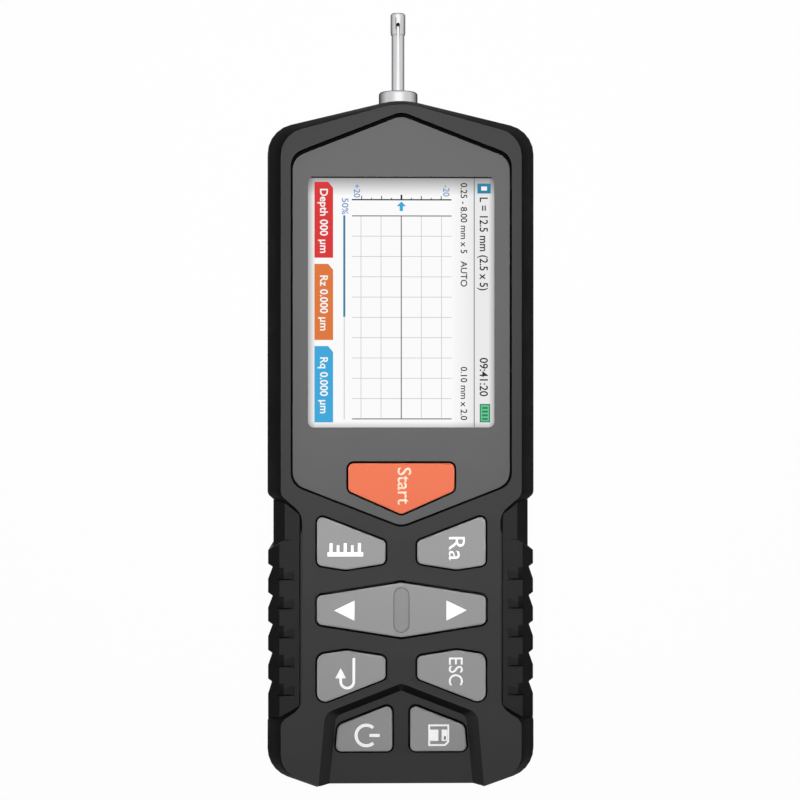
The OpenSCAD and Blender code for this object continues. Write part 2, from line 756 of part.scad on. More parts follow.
module side_grip() difference() {
    union() {
        bar(grip_section(waist_w / 2), grip_low - core_run, grip_top + core_run);
        intersection() {
            bar(grip_section(grip_w / 2), grip_low - core_run, rib_top);
            translate([0, 0, -cut]) linear_extrude(case_h + cut) difference() {
                polygon([[0, grip_low - core_run], [grip_w / 2, grip_low - core_run],
                    [grip_w / 2, rib_start], [waist_w / 2 - grip_bevel, rib_top], [0, rib_top]]);
                for (y = notch_y) polygon(notch(grip_w / 2, notch_d, y));
            }
        }
    }
    // Over the shoulder each notch falls slowly and ends in a step
    for (y = notch_y) translate([pad_half + shoulder_flat, 0, 0]) rotate([90, 0, 90]) linear_extrude(half_w)
        polygon([[y - notch_step, shoulder_z + cut], [y - notch_step, shoulder_z],
            [y - notch_ramp, shoulder_z - shoulder_fall - shoulder_notch],
            [y - notch_ramp - shoulder_notch / 3, shoulder_z + cut]]);
    bevelled(inset(upper_wide, -lay_gap), inset(upper_face, -lay_gap), -cut, bevel_z, case_h);
    bevelled(inset(lower_wide, -lay_gap), inset(lower_face, -lay_gap), -cut, bevel_z, case_h);
}

module right_grip() color("#2e2e30") side_grip();
module left_grip() color("#2e2e30") mirror([1, 0, 0]) side_grip();

module front_panel() color("#6b6b6b") difference() {
    plate(panel_outline(0, 0), pocket_z, pocket_z + panel_t);
    plate(window(0), pocket_z - cut, case_h);
    plate(window(lens_rim), pocket_z - cut, pocket_z + lens_t);
    plate(inset(start_outline, -key_gap), pocket_z - cut, case_h);
}

module screen_lens() color("#e8eef2", 0.4) plate(window(lens_rim - lay_gap), pocket_z, pocket_z + lens_t);

// Glass cell that stands up through the cover, on the backlight's frame
module lcd_module() color("#dfe5e6") {
    plate(window(lens_rim - 2 * lay_gap), ceiling_z - cut, pocket_z - lay_gap);
    plate(window(display_rim), board_top_z, ceiling_z - lay_gap);
}

module keypad_mat() color("#4a4d52") {
    mat_z = board_top_z + mat_t;
    mat_top = start_top + mat_lap;
    mat_low = recess_key_low - mat_lap;
    mat_rows = rocker_h + 2 * (row_web + key_root + mat_reach);
    plate(rectangle([0, (mat_top + mat_low) / 2], start_w + 2 * mat_lap, mat_top - mat_low, mat_r),
        board_top_z, mat_z);
    plate(rectangle([0, pad_y], keys_w + 2 * mat_out, mat_rows, mat_r), board_top_z, mat_z);
    for (p = key_centres) translate([p.x, p.y, mat_z - mat_t / 2])
        cylinder(d = key_stem_d, h = mat_pad_h + mat_t / 2);
}

// Middle of each key's stem, with both ends of the rocker
key_mid = (key_in + key_out) / 2;
upper_mid = upper_root + key_root / 2 + key_mid * (pad_tan - row_tan) / 2;
lower_mid = lower_root - key_root / 2 - key_mid * (pad_tan - row_tan) / 2;
recess_mid_x = (recess_key_gap / 2 + recess_key_out) / 2;
recess_mid = [recess_mid_x, (recess_key_low + recess_key_top - recess_mid_x * pad_tan) / 2];
start_mid = start_top - (start_l + start_side) / 4;
key_centres = concat([[0, start_mid]], [for (side = [-1, 1]) each [
    [side * key_mid, upper_mid], [side * (key_out - rocker_stem_in), pad_y], [side * key_mid, lower_mid],
    [side * recess_mid.x, recess_mid.y]]]);

module main_board() color("#1f5a3a") {
    board_end = low_y + channel_d + wall + board_end_gap;
    plate(rectangle([0, (boss_top.y + boss_low.y) / 2], 2 * (core_half - wall - board_gap),
        boss_top.y - boss_low.y - 2 * boss_d, board_r), board_z, board_top_z);
    plate(rectangle([0, (board_end + pad_y) / 2], recess_keys_w + 2 * board_margin, pad_y - board_end,
        board_r), board_z, board_top_z);
}

module battery_pack() color("#3a6ea5")
    plate(rectangle([0, battery_y], battery_w, battery_l, battery_r), battery_z, battery_z + battery_t);

// Metal shell with a tongue inside, open at the lower end
module usb_socket() color("#c9ccd0") {
    mouth = low_y + channel_d + socket_sink;
    difference() {
        socket_slot(-lay_gap, mouth, mouth + socket_l);
        socket_slot(-lay_gap - socket_t, mouth - cut, mouth + socket_l - socket_floor);
    }
    translate([tongue_in - socket_w / 2, mouth + tongue_back, board_z - (socket_h + tongue_t) / 2])
        cube([socket_w - 2 * tongue_in, socket_l - tongue_back - socket_floor / 2, tongue_t]);
}

module case_screws() color("#8d9093") at_bosses() {
    difference() {
        translate([0, 0, head_z - head_t]) cylinder(d = screw_head_d, h = head_t);
        for (a = [0, 90]) rotate(a) translate([-screw_head_d / 3, -cross_w / 2, head_z - head_t - cut])
            cube([screw_head_d * 2 / 3, cross_w, cut + cross_d]);
    }
    translate([0, 0, head_z]) cylinder(d = case_screw_d, h = part_h + screw_bite - screw_tip_gap - head_z);
}

// Bridge over the carriage with an end plate at each end, standing on the rear cover's floor
module drive_frame() color("#a9adb2") difference() {
    union() {
        for (y = [frame_back, frame_front - end_plate_t])
            translate([-carriage_w / 2, y, wall])
                cube([carriage_w, end_plate_t, bridge_z + bridge_t - wall]);
        translate([-carriage_w / 2, frame_back, bridge_z])
            cube([carriage_w, frame_front - frame_back, bridge_t]);
    }
    for (side = [-1, 1])
        rod([side * rod_pitch / 2, pickup_h], rod_d + 2 * press_gap, frame_back - cut, frame_front + cut);
    rod([screw_x, screw_h], screw_d + 2 * run_gap, frame_back - cut, frame_front + cut);
    rod([0, pickup_h], pickup_d + 2 * frame_gap, frame_front - end_plate_t - cut, frame_front + cut);
    translate([-pickup_d / 2 - frame_gap, frame_front - end_plate_t - cut, wall - cut])
        cube([pickup_d + 2 * frame_gap, end_plate_t + 2 * cut, pickup_h - wall + cut]);
}

module guide_rods() color("#d5d8db") for (side = [-1, 1])
    rod([side * rod_pitch / 2, pickup_h], rod_d, frame_back, frame_front);

module gearbox() color("#b9a36a") difference() {
    rod([screw_x, screw_h], motor_d, frame_back - gearbox_l, frame_back);
    rod([screw_x, screw_h], screw_d + 2 * run_gap, frame_back - screw_seat - run_gap, frame_back + cut);
}

module drive_motor() color("#b8bcc0") {
    motor_y = frame_back - gearbox_l;
    rod([screw_x, screw_h], motor_d, motor_y - motor_l + motor_cap, motor_y);
    rod([screw_x, screw_h], motor_d / 3, motor_y - motor_l, motor_y - motor_l / 2);
}

module nose_bush() color("#c8a95a") difference() {
    rod([0, pickup_h], pickup_d + 2 * bush_wall, bush_y, bush_y + bush_l);
    rod([0, pickup_h], pickup_d + 2 * run_gap, bush_y - cut, top_y);
}

// Key cap from its rim, under the surface at z, to its proud top, with a stem down to the mat
module key_cap(outline, surface, ceiling) {
    rim_z = ceiling - key_lift - key_rim_t;
    bevelled(outline, inset(outline, key_edge), rim_z, surface + key_proud - key_edge, surface + key_proud);
    plate(inset(outline, -key_rim), rim_z, rim_z + key_rim_t);
}

module key_stem(at, top) translate([at.x, at.y, stem_z]) cylinder(d = key_stem_d, h = top - stem_z);

module start_key() color("#f37550") {
    key_cap(start_outline, pocket_z + panel_t, ceiling_z);
    key_stem([0, start_mid], ceiling_z - key_lift - key_rim_t / 2);
}

module upper_right_key() {
    key_cap(upper_key, case_h, pad_ceiling_z);
    key_stem([key_mid, upper_mid], pad_ceiling_z - key_lift - key_rim_t / 2);
}

module lower_right_key() {
    key_cap(lower_key, case_h, pad_ceiling_z);
    key_stem([key_mid, lower_mid], pad_ceiling_z - key_lift - key_rim_t / 2);
}

module recess_right_key() {
    key_cap(recess_key, recess_z, recess_ceiling_z);
    key_stem(recess_mid, recess_ceiling_z - key_lift - key_rim_t / 2);
}

module length_key() color("#a2a2a4") mirror([1, 0, 0]) upper_right_key();
module parameter_key() color("#a2a2a4") upper_right_key();
module enter_key() color("#939395") mirror([1, 0, 0]) lower_right_key();
module escape_key() color("#939395") lower_right_key();
module power_key() color("#8b8b8d") mirror([1, 0, 0]) recess_right_key();
module save_key() color("#8b8b8d") recess_right_key();

// Rocker with a finger groove, a keel below its middle and a round pivot at each end of the keel
module rocker_key() color("#9b9b9d") {
    difference() {
        bevelled(rocker_outline, inset(rocker_outline, key_edge), pad_ceiling_z - key_lift,
            case_h + key_proud - key_edge, case_h + key_proud);
        plate(rectangle([0, pad_y], groove_w, groove_l, groove_w / 2 - least_r),
            case_h + key_proud - groove_d, case_h + key_proud + cut);
    }
    translate([-pivot_d / 2, pad_y - rocker_h / 2 + keel_in, pivot_z - pivot_d / 2])
        cube([pivot_d, rocker_h - 2 * keel_in, pivot_drop + pivot_d / 2]);
    pin_reach = rocker_h / 2 + key_gap + pivot_l;
    rod([0, pivot_z], pivot_d, pad_y - pin_reach, pad_y + pin_reach);
    for (side = [-1, 1]) key_stem([side * (key_out - rocker_stem_in), pad_y], pad_ceiling_z);
}

module carriage() color("#55585c") difference() {
    translate([-carriage_w / 2, carriage_back, carriage_z])
        cube([carriage_w, carriage_l, carriage_top - carriage_z]);
    for (side = [-1, 1]) rod([side * rod_pitch / 2, pickup_h], bush_d + 2 * press_gap,
        carriage_back - cut, carriage_front + cut);
    rod([screw_x, screw_h], nut_d + 2 * press_gap, carriage_back - cut, carriage_front + cut);
}

module slide_bushes() color("#c8a95a") for (side = [-1, 1]) difference() {
    rod([side * rod_pitch / 2, pickup_h], bush_d, carriage_back, carriage_front);
    rod([side * rod_pitch / 2, pickup_h], rod_d + 2 * run_gap, carriage_back - cut, carriage_front + cut);
}

module drive_nut() color("#c8a95a") difference() {
    union() {
        rod([screw_x, screw_h], nut_d, carriage_back, carriage_front);
        rod([screw_x, screw_h], nut_collar_d, carriage_back - nut_collar_t, carriage_back);
    }
    rod([screw_x, screw_h], screw_d + 2 * run_gap,
        carriage_back - nut_collar_t - cut, carriage_front + cut);
}

module pickup_socket() color("#2b2d30") difference() {
    rod([0, pickup_h], socket_d, carriage_front, shoulder_y - socket_seat);
    rod([0, pickup_h], plug_d + 2 * run_gap, shoulder_y - plug_l - socket_seat, shoulder_y);
}

// Turned body with a rounded collar edge, a seat for the nose tube and a plug behind
module pickup_body() color("#d9dbdd") difference() {
    translate([0, shoulder_y, pickup_h]) rotate([-90, 0, 0]) rotate_extrude() {
        square([pickup_d / 2, pickup_l - collar_edge]);
        square([pickup_d / 2 - collar_edge, pickup_l]);
        translate([pickup_d / 2 - collar_edge, pickup_l - collar_edge]) circle(r = collar_edge);
        translate([0, -plug_l]) square([plug_d / 2, plug_l]);
    }
    rod([0, nose_h], tube_d + 2 * press_gap, collar_y - tube_seat, collar_y + cut);
}

module pickup_tube() color("#dcdee0") difference() {
    rod([0, nose_h], tube_d, collar_y - tube_seat, tip_y - sleeve_end_t);
    rod([0, nose_h], tube_bore, collar_y - tube_seat - cut, tip_y);
    translate([-tube_d, hinge_y, nose_h]) rotate([0, 90, 0])
        cylinder(d = hinge_d + 2 * run_gap, h = 2 * tube_d);
    translate([0, stylus_y, nose_h - tube_d]) cylinder(d = stylus_hole, h = tube_d);
    translate([0, stylus_y, nose_h]) cylinder(d = keyhole_w, h = tube_d);
}

// Thin sleeve with a closed round end, a hole for the stylus below and a keyhole above
module tip_sleeve() color("#e2e4e5") difference() {
    translate([0, tip_y - sleeve_l, nose_h]) rotate([-90, 0, 0]) rotate_extrude() polygon([
        [tube_d / 2 + press_gap, 0], [sleeve_d / 2 - sleeve_lip, 0], [sleeve_d / 2, sleeve_lip_l],
        [sleeve_d / 2, sleeve_l - sleeve_edge],
        [sleeve_d / 2 - sleeve_edge, sleeve_l], [0, sleeve_l], [0, sleeve_l - sleeve_end_t + press_gap],
        [tube_d / 2 + press_gap, sleeve_l - sleeve_end_t + press_gap]]);
    translate([0, stylus_y, nose_h - sleeve_d]) cylinder(d = stylus_hole, h = sleeve_d);
    translate([0, stylus_y, nose_h]) cylinder(d = keyhole_w, h = sleeve_d);
    translate([-keyhole_w / 2, tip_y - sleeve_l - cut, nose_h])
        cube([keyhole_w, sleeve_l - stylus_back + cut, sleeve_d]);
}

// Shoe under the sleeve, with a rounded sole and a hole for the stylus
module skid() color("#b23a48") translate([0, stylus_y, 0]) difference() {
    union() {
        translate([0, 0, skid_h]) cylinder(d1 = skid_d - 2 * skid_toe_in, d2 = skid_d, h = skid_toe);
        translate([0, 0, skid_h + skid_toe])
            cylinder(d = skid_d, h = nose_h - sleeve_d / 4 - skid_h - skid_toe);
    }
    cylinder(d = stylus_hole, h = nose_h);
    rod([0, nose_h], sleeve_d + 2 * press_gap, -skid_d, skid_d);
}

module lead_screw() color("#b5b9bd")
    rod([screw_x, screw_h], screw_d, frame_back - screw_seat, frame_front - screw_end_gap);

// Lever on a cross pin, with the shank that carries the point
module stylus_arm() color("#9a9ea3") {
    rod([0, nose_h], arm_d, hinge_y - arm_tail, stylus_y + arm_head);
    translate([pin_gap - tube_d / 2, hinge_y, nose_h]) rotate([0, 90, 0])
        cylinder(d = hinge_d, h = tube_d - 2 * pin_gap);
    translate([0, stylus_y, stylus_h + point_l]) cylinder(d = shank_d, h = nose_h - stylus_h - point_l);
}

module stylus_tip() color("#f4f6f8") translate([0, stylus_y, stylus_h])
    cylinder(d1 = point_d, d2 = shank_d, h = point_l);

front_cover();
rear_cover();
left_grip();
right_grip();
front_panel();
screen_lens();
lcd_module();
keypad_mat();
main_board();
battery_pack();
usb_socket();
case_screws();
drive_frame();
guide_rods();
drive_motor();
gearbox();
nose_bush();
start_key();
length_key();
parameter_key();
rocker_key();
enter_key();
escape_key();
power_key();
save_key();
carriage();
slide_bushes();
drive_nut();
pickup_socket();
pickup_body();
pickup_tube();
tip_sleeve();
skid();
lead_screw();
stylus_arm();
stylus_tip();
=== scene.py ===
"""Dresses a packed hand-held surface roughness tester: moulded shells, soft ribbed grips, printed keys,
a lit screen and a polished stylus pickup, lying on a pale studio floor."""

import math

import bmesh
import bpy
from mathutils import Matrix, Vector


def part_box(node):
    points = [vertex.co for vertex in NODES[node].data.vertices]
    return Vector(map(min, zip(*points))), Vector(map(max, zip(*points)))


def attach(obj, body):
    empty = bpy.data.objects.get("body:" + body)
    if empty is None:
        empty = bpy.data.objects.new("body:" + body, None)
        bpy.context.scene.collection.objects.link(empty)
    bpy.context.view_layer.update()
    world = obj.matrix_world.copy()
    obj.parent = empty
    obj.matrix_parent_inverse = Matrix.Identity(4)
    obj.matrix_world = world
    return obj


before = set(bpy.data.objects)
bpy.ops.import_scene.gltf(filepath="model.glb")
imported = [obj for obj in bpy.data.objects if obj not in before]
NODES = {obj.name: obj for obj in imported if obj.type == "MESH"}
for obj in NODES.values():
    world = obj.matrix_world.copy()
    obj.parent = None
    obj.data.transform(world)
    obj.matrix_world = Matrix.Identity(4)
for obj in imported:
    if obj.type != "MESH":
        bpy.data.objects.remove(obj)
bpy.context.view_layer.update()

bl_info = {
    "name": "Surface roughness tester",
    "version": (1, 0, 0),
    "blender": (4, 5, 0),
    "location": "3D View > Sidebar > Tester",
    "description": "Finishes, legends, lit screen and studio for a hand-held surface roughness tester",
    "category": "Object",
}

MM = 0.001


def tone(red, green, blue):
    """Screen colour from 0 to 255 as the linear colour that a shader takes."""
    def channel(value):
        value /= 255
        return value / 12.92 if value <= 0.04045 else ((value + 0.055) / 1.055) ** 2.4
    return channel(red), channel(green), channel(blue)


def colour_prop(label, text, default):
    return bpy.props.FloatVectorProperty(
        name=label, description=text, subtype="COLOR", size=3, min=0, max=1, default=default)


def length_prop(label, text, default):
    """Length in metres, typed here in millimetres."""
    return bpy.props.FloatProperty(
        name=label, description=text, subtype="DISTANCE", unit="LENGTH", default=default * MM, precision=5)


class TesterColours(bpy.types.PropertyGroup):
    shell: colour_prop("Shell", "Moulded front cover", tone(69, 69, 70))
    # Painted shade on the slopes of the front cover and grips, darker than their moulding for the light they
    # turn away from
    flank: colour_prop("Slopes", "Sloped edges of the front cover and grips", tone(14, 14, 15))
    side: colour_prop("Sides", "Rear cover, and upright sides of the front cover and grips", tone(66, 66, 67))
    grip: colour_prop("Grips", "Soft ribbed side grips", tone(51, 51, 52))
    panel: colour_prop("Front panel", "Satin panel round the screen", tone(102, 102, 103))
    key: colour_prop("Keys", "Grey keys", tone(163, 163, 164))
    start: colour_prop("Start key", "Large key under the screen", tone(239, 124, 91))
    legend: colour_prop("Legends", "Print on the keys", tone(254, 254, 254))
    screen: colour_prop("Screen", "Lit ground of the screen", tone(255, 255, 255))
    ink: colour_prop("Screen ink", "Dark lines and figures on the screen", tone(44, 46, 50))
    steel: colour_prop("Polished steel", "Pickup body, tube and sleeve", tone(252, 252, 253))


class TesterSizes(bpy.types.PropertyGroup):
    shell_edge: length_prop("Shell edge", "Rounding of the covers' moulded edges", 0.25)
    grip_edge: length_prop("Grip edge", "Rounding of the grips' ribs", 0.3)
    key_edge: length_prop("Key edge", "Rounding of the key caps' edges", 0.1)
    print_height: length_prop("Print height", "Thickness of the printed legends", 0.03)
    screen_dot: length_prop("Screen dot", "Size of one step of the screen's layout", 0.204)
    camera_height: length_prop("Camera height", "Height of the camera above the back of the case", 458)
    camera_aside: length_prop("Camera offset", "Offset of the camera to the left of the case", 9)
    camera_shift: length_prop("Camera shift", "Place across the case that the camera looks at", -0.15)
    camera_aim: length_prop("Camera aim", "Place along the case that the camera looks at", 8.8)


def colours():
    return bpy.context.scene.tester_colours


def sizes():
    return bpy.context.scene.tester_sizes


# Values between which most of a noise lies
NOISE_LOW, NOISE_HIGH = 0.35, 0.65
# Places of the factor, the two colours and the result among a Mix node's sockets
MIX_FACTOR, MIX_A, MIX_B, MIX_RESULT = 0, 6, 7, 2


class Finish:
    """A material while its nodes are laid: a principled shader with named helpers for its texture."""

    def __init__(self, name, colour, roughness, metallic=0.0):
        self.material = bpy.data.materials.new(name)
        self.material.use_nodes = True
        self.material.diffuse_color = (*colour, 1)
        self.tree = self.material.node_tree
        self.shader = self.tree.nodes["Principled BSDF"]
        self.colour = tuple(colour)
        self.set("Base Color", (*colour, 1))
        self.set("Roughness", roughness)
        self.set("Metallic", metallic)
        self.bumps = None

    def set(self, socket, value):
        self.shader.inputs[socket].default_value = value

    def node(self, kind, **values):
        made = self.tree.nodes.new(kind)
        for name, value in values.items():
            made.inputs[name.replace("_", " ")].default_value = value
        return made

    def link(self, a, b):
        self.tree.links.new(a, b)

    def place(self, stretch=(1, 1, 1)):
        """Place on the piece in metres, stretched along its axes."""
        where = self.node("ShaderNodeTexCoord")
        scale = self.node("ShaderNodeMapping")
        scale.inputs["Scale"].default_value = stretch
        self.link(where.outputs["Object"], scale.inputs["Vector"])
        return scale.outputs["Vector"]

    def noise(self, grain, detail=2.0, stretch=(1, 1, 1)):
        """Even noise whose lumps are about grain millimetres across."""
        made = self.node("ShaderNodeTexNoise", Scale=1 / (grain * MM), Detail=detail, Roughness=0.6)
        self.link(self.place(stretch), made.inputs["Vector"])
        return made.outputs["Fac"]

    def bump(self, height, depth, strength=1.0):
        """Surface relief of depth millimetres from a height that runs from 0 to 1."""
        made = self.node("ShaderNodeBump", Strength=strength, Distance=depth * MM)
        self.link(height, made.inputs["Height"])
        if self.bumps:
            self.link(self.bumps, made.inputs["Normal"])
        self.bumps = made.outputs["Normal"]
        self.link(self.bumps, self.shader.inputs["Normal"])

    def vary(self, fac, socket, low, high):
        """Socket that runs from low to high over the middle of a noise."""
        made = self.node("ShaderNodeMapRange", From_Min=NOISE_LOW, From_Max=NOISE_HIGH,
                         To_Min=low, To_Max=high)
        self.link(fac, made.inputs["Value"])
        self.link(made.outputs["Result"], self.shader.inputs[socket])

    def mix(self, fac, low, high):
        """Colour that runs from low to high, each a colour or a socket."""
        made = self.tree.nodes.new("ShaderNodeMix")
        made.data_type = "RGBA"
        self.link(fac, made.inputs[MIX_FACTOR])
        for socket, colour in ((made.inputs[MIX_A], low), (made.inputs[MIX_B], high)):
            if isinstance(colour, bpy.types.NodeSocket):
                self.link(colour, socket)
            else:
                socket.default_value = (*colour, 1)
        return made.outputs[MIX_RESULT]

    def tint(self, a, b):
        """Product of two colours."""
        made = self.tree.nodes.new("ShaderNodeMix")
        made.data_type = "RGBA"
        made.blend_type = "MULTIPLY"
        made.inputs[MIX_FACTOR].default_value = 1.0
        self.link(a, made.inputs[MIX_A])
        self.link(b, made.inputs[MIX_B])
        return made.outputs[MIX_RESULT]

    def cloud(self, fac, spread, flank=None, level=None):
        """Base colour that drifts a little lighter and darker, and where level is 0 takes the flank colour:
        painted shade on slopes, on key sides and in gaps, and the sides' own colour on upright walls.
        """
        low = [c * (1 - spread) for c in self.colour]
        high = [min(1, c * (1 + spread)) for c in self.colour]
        colour = self.mix(fac, low, high)
        if flank:
            colour = self.mix(level, flank, colour)
        self.link(colour, self.shader.inputs["Base Color"])

    def part(self, output, axis):
        """One axis of the piece's own place (Object) or facing (Normal)."""
        where = self.node("ShaderNodeTexCoord")
        parts = self.node("ShaderNodeSeparateXYZ")
        self.link(where.outputs[output], parts.inputs["Vector"])
        return parts.outputs[axis]

    def ramp(self, value, low, high, start=0.0):
        """Start to 1 as a value goes from low to high."""
        made = self.node("ShaderNodeMapRange", From_Min=low, From_Max=high, To_Min=start, To_Max=1.0)
        self.link(value, made.inputs["Value"])
        return made.outputs["Result"]

    def both(self, kind, a, b):
        """Two values, each a number or a socket, joined by a kind of sum."""
        made = self.tree.nodes.new("ShaderNodeMath")
        made.operation = kind
        for socket, value in zip(made.inputs, (a, b)):
            if isinstance(value, bpy.types.NodeSocket):
                self.link(value, socket)
            else:
                socket.default_value = value
        return made.outputs[0]

    def facing_up(self, steep=0.6, level=0.95):
        """1 where the normal's upward part is level or more, 0 where it is steep or less."""
        return self.ramp(self.part("Normal", "Z"), steep, level)

    def above(self, height, soft=0.1):
        """1 above a height in millimetres, 0 just below it."""
        return self.ramp(self.part("Object", "Z"), (height - soft) * MM, height * MM)

    def upright_below(self, slope_shade, side, height, leaning=0.2, upright=0.08, soft=1):
        """Painted shade of the slopes, and the sides' own colour on walls that stand upright below a height
        in millimetres.
        """
        wall = self.ramp(self.part("Normal", "Z"), leaning, upright)
        low = self.ramp(self.part("Object", "Z"), height * MM, (height - soft) * MM)
        return self.mix(self.both("MULTIPLY", wall, low), slope_shade, side)

    def near_middle(self, half, full=0.98):
        """1 up to the full share of half a width in millimetres from the middle line, 0 past the half."""
        across = self.part("Object", "X")
        return self.ramp(self.both("MULTIPLY", across, across), (half * MM) ** 2, (half * MM * full) ** 2)

    def rows(self, middle, half, soft, pitch):
        """1 within half of a middle along Y, 0 past a soft edge, repeated at a pitch, in millimetres."""
        off = self.both("SUBTRACT", self.part("Object", "Y"), middle * MM)
        return self.ramp(self.both("PINGPONG", off, pitch / 2 * MM), (half + soft) * MM, half * MM)


def grained_plastic(name, colour, roughness, grain=0.12, depth=0.008, gloss=0.06):
    """Moulded plastic with the fine spark grain of its tool and slightly uneven gloss, before its colour."""
    made = Finish(name, colour, roughness)
    made.set("Specular IOR Level", gloss)
    made.bump(made.noise(grain, detail=3), depth, strength=0.5)
    made.vary(made.noise(grain=9), "Roughness", roughness - 0.05, roughness + 0.05)
    return made


def plastic_colour(made, flank=None, level=None):
    """Moulded plastic's slightly clouded colour."""
    made.cloud(made.noise(grain=22, detail=3), 0.05, flank, level)
    return made.material


def moulded_plastic(name, colour, roughness, grain=0.12, depth=0.008, gloss=0.06):
    """Moulded plastic of one colour."""
    return plastic_colour(grained_plastic(name, colour, roughness, grain, depth, gloss))


# Half the width between the walls beside the keypad, in millimetres
KEYPAD_HALF = 22.5
# How far below the panel's joint the upright walls start to take the sides' colour, in millimetres
SIDE_DROP = 4


def shell_plastic(name, colour, slope_shade, side, panel_low, panel_base):
    """Front cover's plastic, with painted shade in the front panel's joint and on slopes, but none beside the
    keypad.
    """
    made = grained_plastic(name, colour, roughness=0.52, gloss=0.004)
    below_panel = made.ramp(made.part("Object", "Y"), panel_low, panel_low - MM)
    across = made.part("Normal", "X")
    keypad_wall = made.ramp(made.both("MULTIPLY", across, across), 0.6, 0.85)
    leaning = made.ramp(made.part("Normal", "Z"), 0.12, 0.22)
    for limit in (leaning, made.near_middle(KEYPAD_HALF), below_panel):
        keypad_wall = made.both("MULTIPLY", keypad_wall, limit)
    level = made.both("MAXIMUM", made.facing_up(), keypad_wall)
    # Painted shade in the gap of the front panel's joint, which takes the dark slope colour
    out_of_joint = made.both("MAXIMUM", made.above(panel_base), below_panel)
    # Painted shade on the slopes, and the sides' own colour on upright walls below the panel
    flank = made.upright_below(slope_shade, side, panel_base - SIDE_DROP)
    return plastic_colour(made, flank, made.both("MULTIPLY", level, out_of_joint))


def key_plastic(name, colour, gap_shade, surface):
    """Key cap in its colour on top, with painted shade on its sides and in the gap below the surface."""
    made = grained_plastic(name, colour, roughness=0.5, grain=0.1, depth=0.006)
    level = made.facing_up(steep=0.3, level=0.6)
    return plastic_colour(made, gap_shade, made.both("MULTIPLY", level, made.above(surface)))


# Notches of a grip: their number, and in millimetres their pitch and length along the shoulder
NOTCHES, NOTCH_PITCH, NOTCH_LENGTH = 5, 5.93, 2.63
# First notch's lower step, in millimetres above the middle of the rocker key
FIRST_STEP = 5.82
# Painted shade line along a step, in millimetres: its place above the step, half its width and its soft edge
LINE_UP, LINE_HALF, LINE_SOFT = 0.1, 0.12, 0.14
# Distances in millimetres from the middle of the case at which the line starts and is full,
# and the same for the painted shade at the outer end of a notch's floor
LINE_FROM, LINE_FULL = 22.0, 22.9
FLOOR_FROM, FLOOR_FULL = 23.95, 24.1
# Soft edge of a floor's painted shade in millimetres, and how dark it is beside its line
FLOOR_SOFT, FLOOR_SHADE = 0.1, 0.7
# How far the shade may reach past the notches, in millimetres
NOTCH_PAST = 0.3
# Pitch far longer than the case, for rows that don't repeat
ONCE = 1000


def notch_shade(made, step):
    """1 in the painted shade of a grip's notches: along each step and at the outer end of each floor."""
    across = made.both("ABSOLUTE", made.part("Object", "X"), 0.0)
    steps = made.rows(step + LINE_UP, LINE_HALF, LINE_SOFT, NOTCH_PITCH)
    line = made.both("MULTIPLY", steps, made.ramp(across, LINE_FROM * MM, LINE_FULL * MM))
    half = NOTCH_LENGTH / 2
    floors = made.rows(step + half, half - FLOOR_SOFT / 2, FLOOR_SOFT, NOTCH_PITCH)
    floor = made.both("MULTIPLY", floors, made.ramp(across, FLOOR_FROM * MM, FLOOR_FULL * MM))
    reach = ((NOTCHES - 1) * NOTCH_PITCH + NOTCH_LENGTH) / 2
    ribbed = made.rows(step + NOTCH_LENGTH - reach, reach + NOTCH_PAST, FLOOR_SOFT, ONCE)
    shade = made.both("MAXIMUM", line, made.both("MULTIPLY", floor, FLOOR_SHADE))
    return made.both("MULTIPLY", shade, ribbed)


def rubber_skin(name, colour):
    """Soft rubber before its colour: matte, with a dusty bloom and a coarse skin."""
    made = Finish(name, colour, 0.72)
    made.set("Specular IOR Level", 0.01)
    made.set("Sheen Weight", 0.03)
    made.set("Sheen Roughness", 0.5)
    made.bump(made.noise(grain=0.22, detail=3), depth=0.014, strength=0.5)
    made.vary(made.noise(grain=6, detail=3), "Roughness", 0.66, 0.78)
    return made


def rubber_colour(made, flank=None, level=None):
    """Soft rubber's clouded colour."""
    made.cloud(made.noise(grain=11, detail=4), 0.08, flank, level)
    return made.material


def soft_rubber(name, colour):
    """Soft rubber of one colour."""
    return rubber_colour(rubber_skin(name, colour))


def grip_rubber(name, colour, slope_shade, side, step):
    """Grips' rubber, with painted shade on its slopes and in the notches over the shoulder."""
    made = rubber_skin(name, colour)
    above_grips = 40
    # Painted shade on the grips' slopes, and the sides' colour on their upright walls
    flank = made.upright_below(slope_shade, side, above_grips)
    # Painted shade in the notches over the shoulder
    out_of_shade = made.both("SUBTRACT", 1.0, notch_shade(made, step))
    return rubber_colour(made, flank, made.both("MULTIPLY", made.facing_up(level=0.85), out_of_shade))


def printed_ink(name, colour, glow=0.0):
    """Pad-printed ink with a slightly uneven film, and a painted glow of its own colour where glow is given.
    """
    made = Finish(name, colour, 0.5)
    made.set("Emission Color", (*colour, 1))
    made.set("Emission Strength", glow)
    made.set("Specular IOR Level", 0.25)
    made.bump(made.noise(grain=0.08), depth=0.003, strength=0.4)
    made.cloud(made.noise(grain=1.5), 0.02)
    return made.material


# Painted reflection on a polished rod, from its underside to its top: the normal's upward part and a screen
# tone
PAINTED_STEEL_REFLECTION = ((0.0, 168), (0.2, 116), (0.57, 158), (0.79, 204), (0.92, 206), (0.97, 224), (0.995, 253))


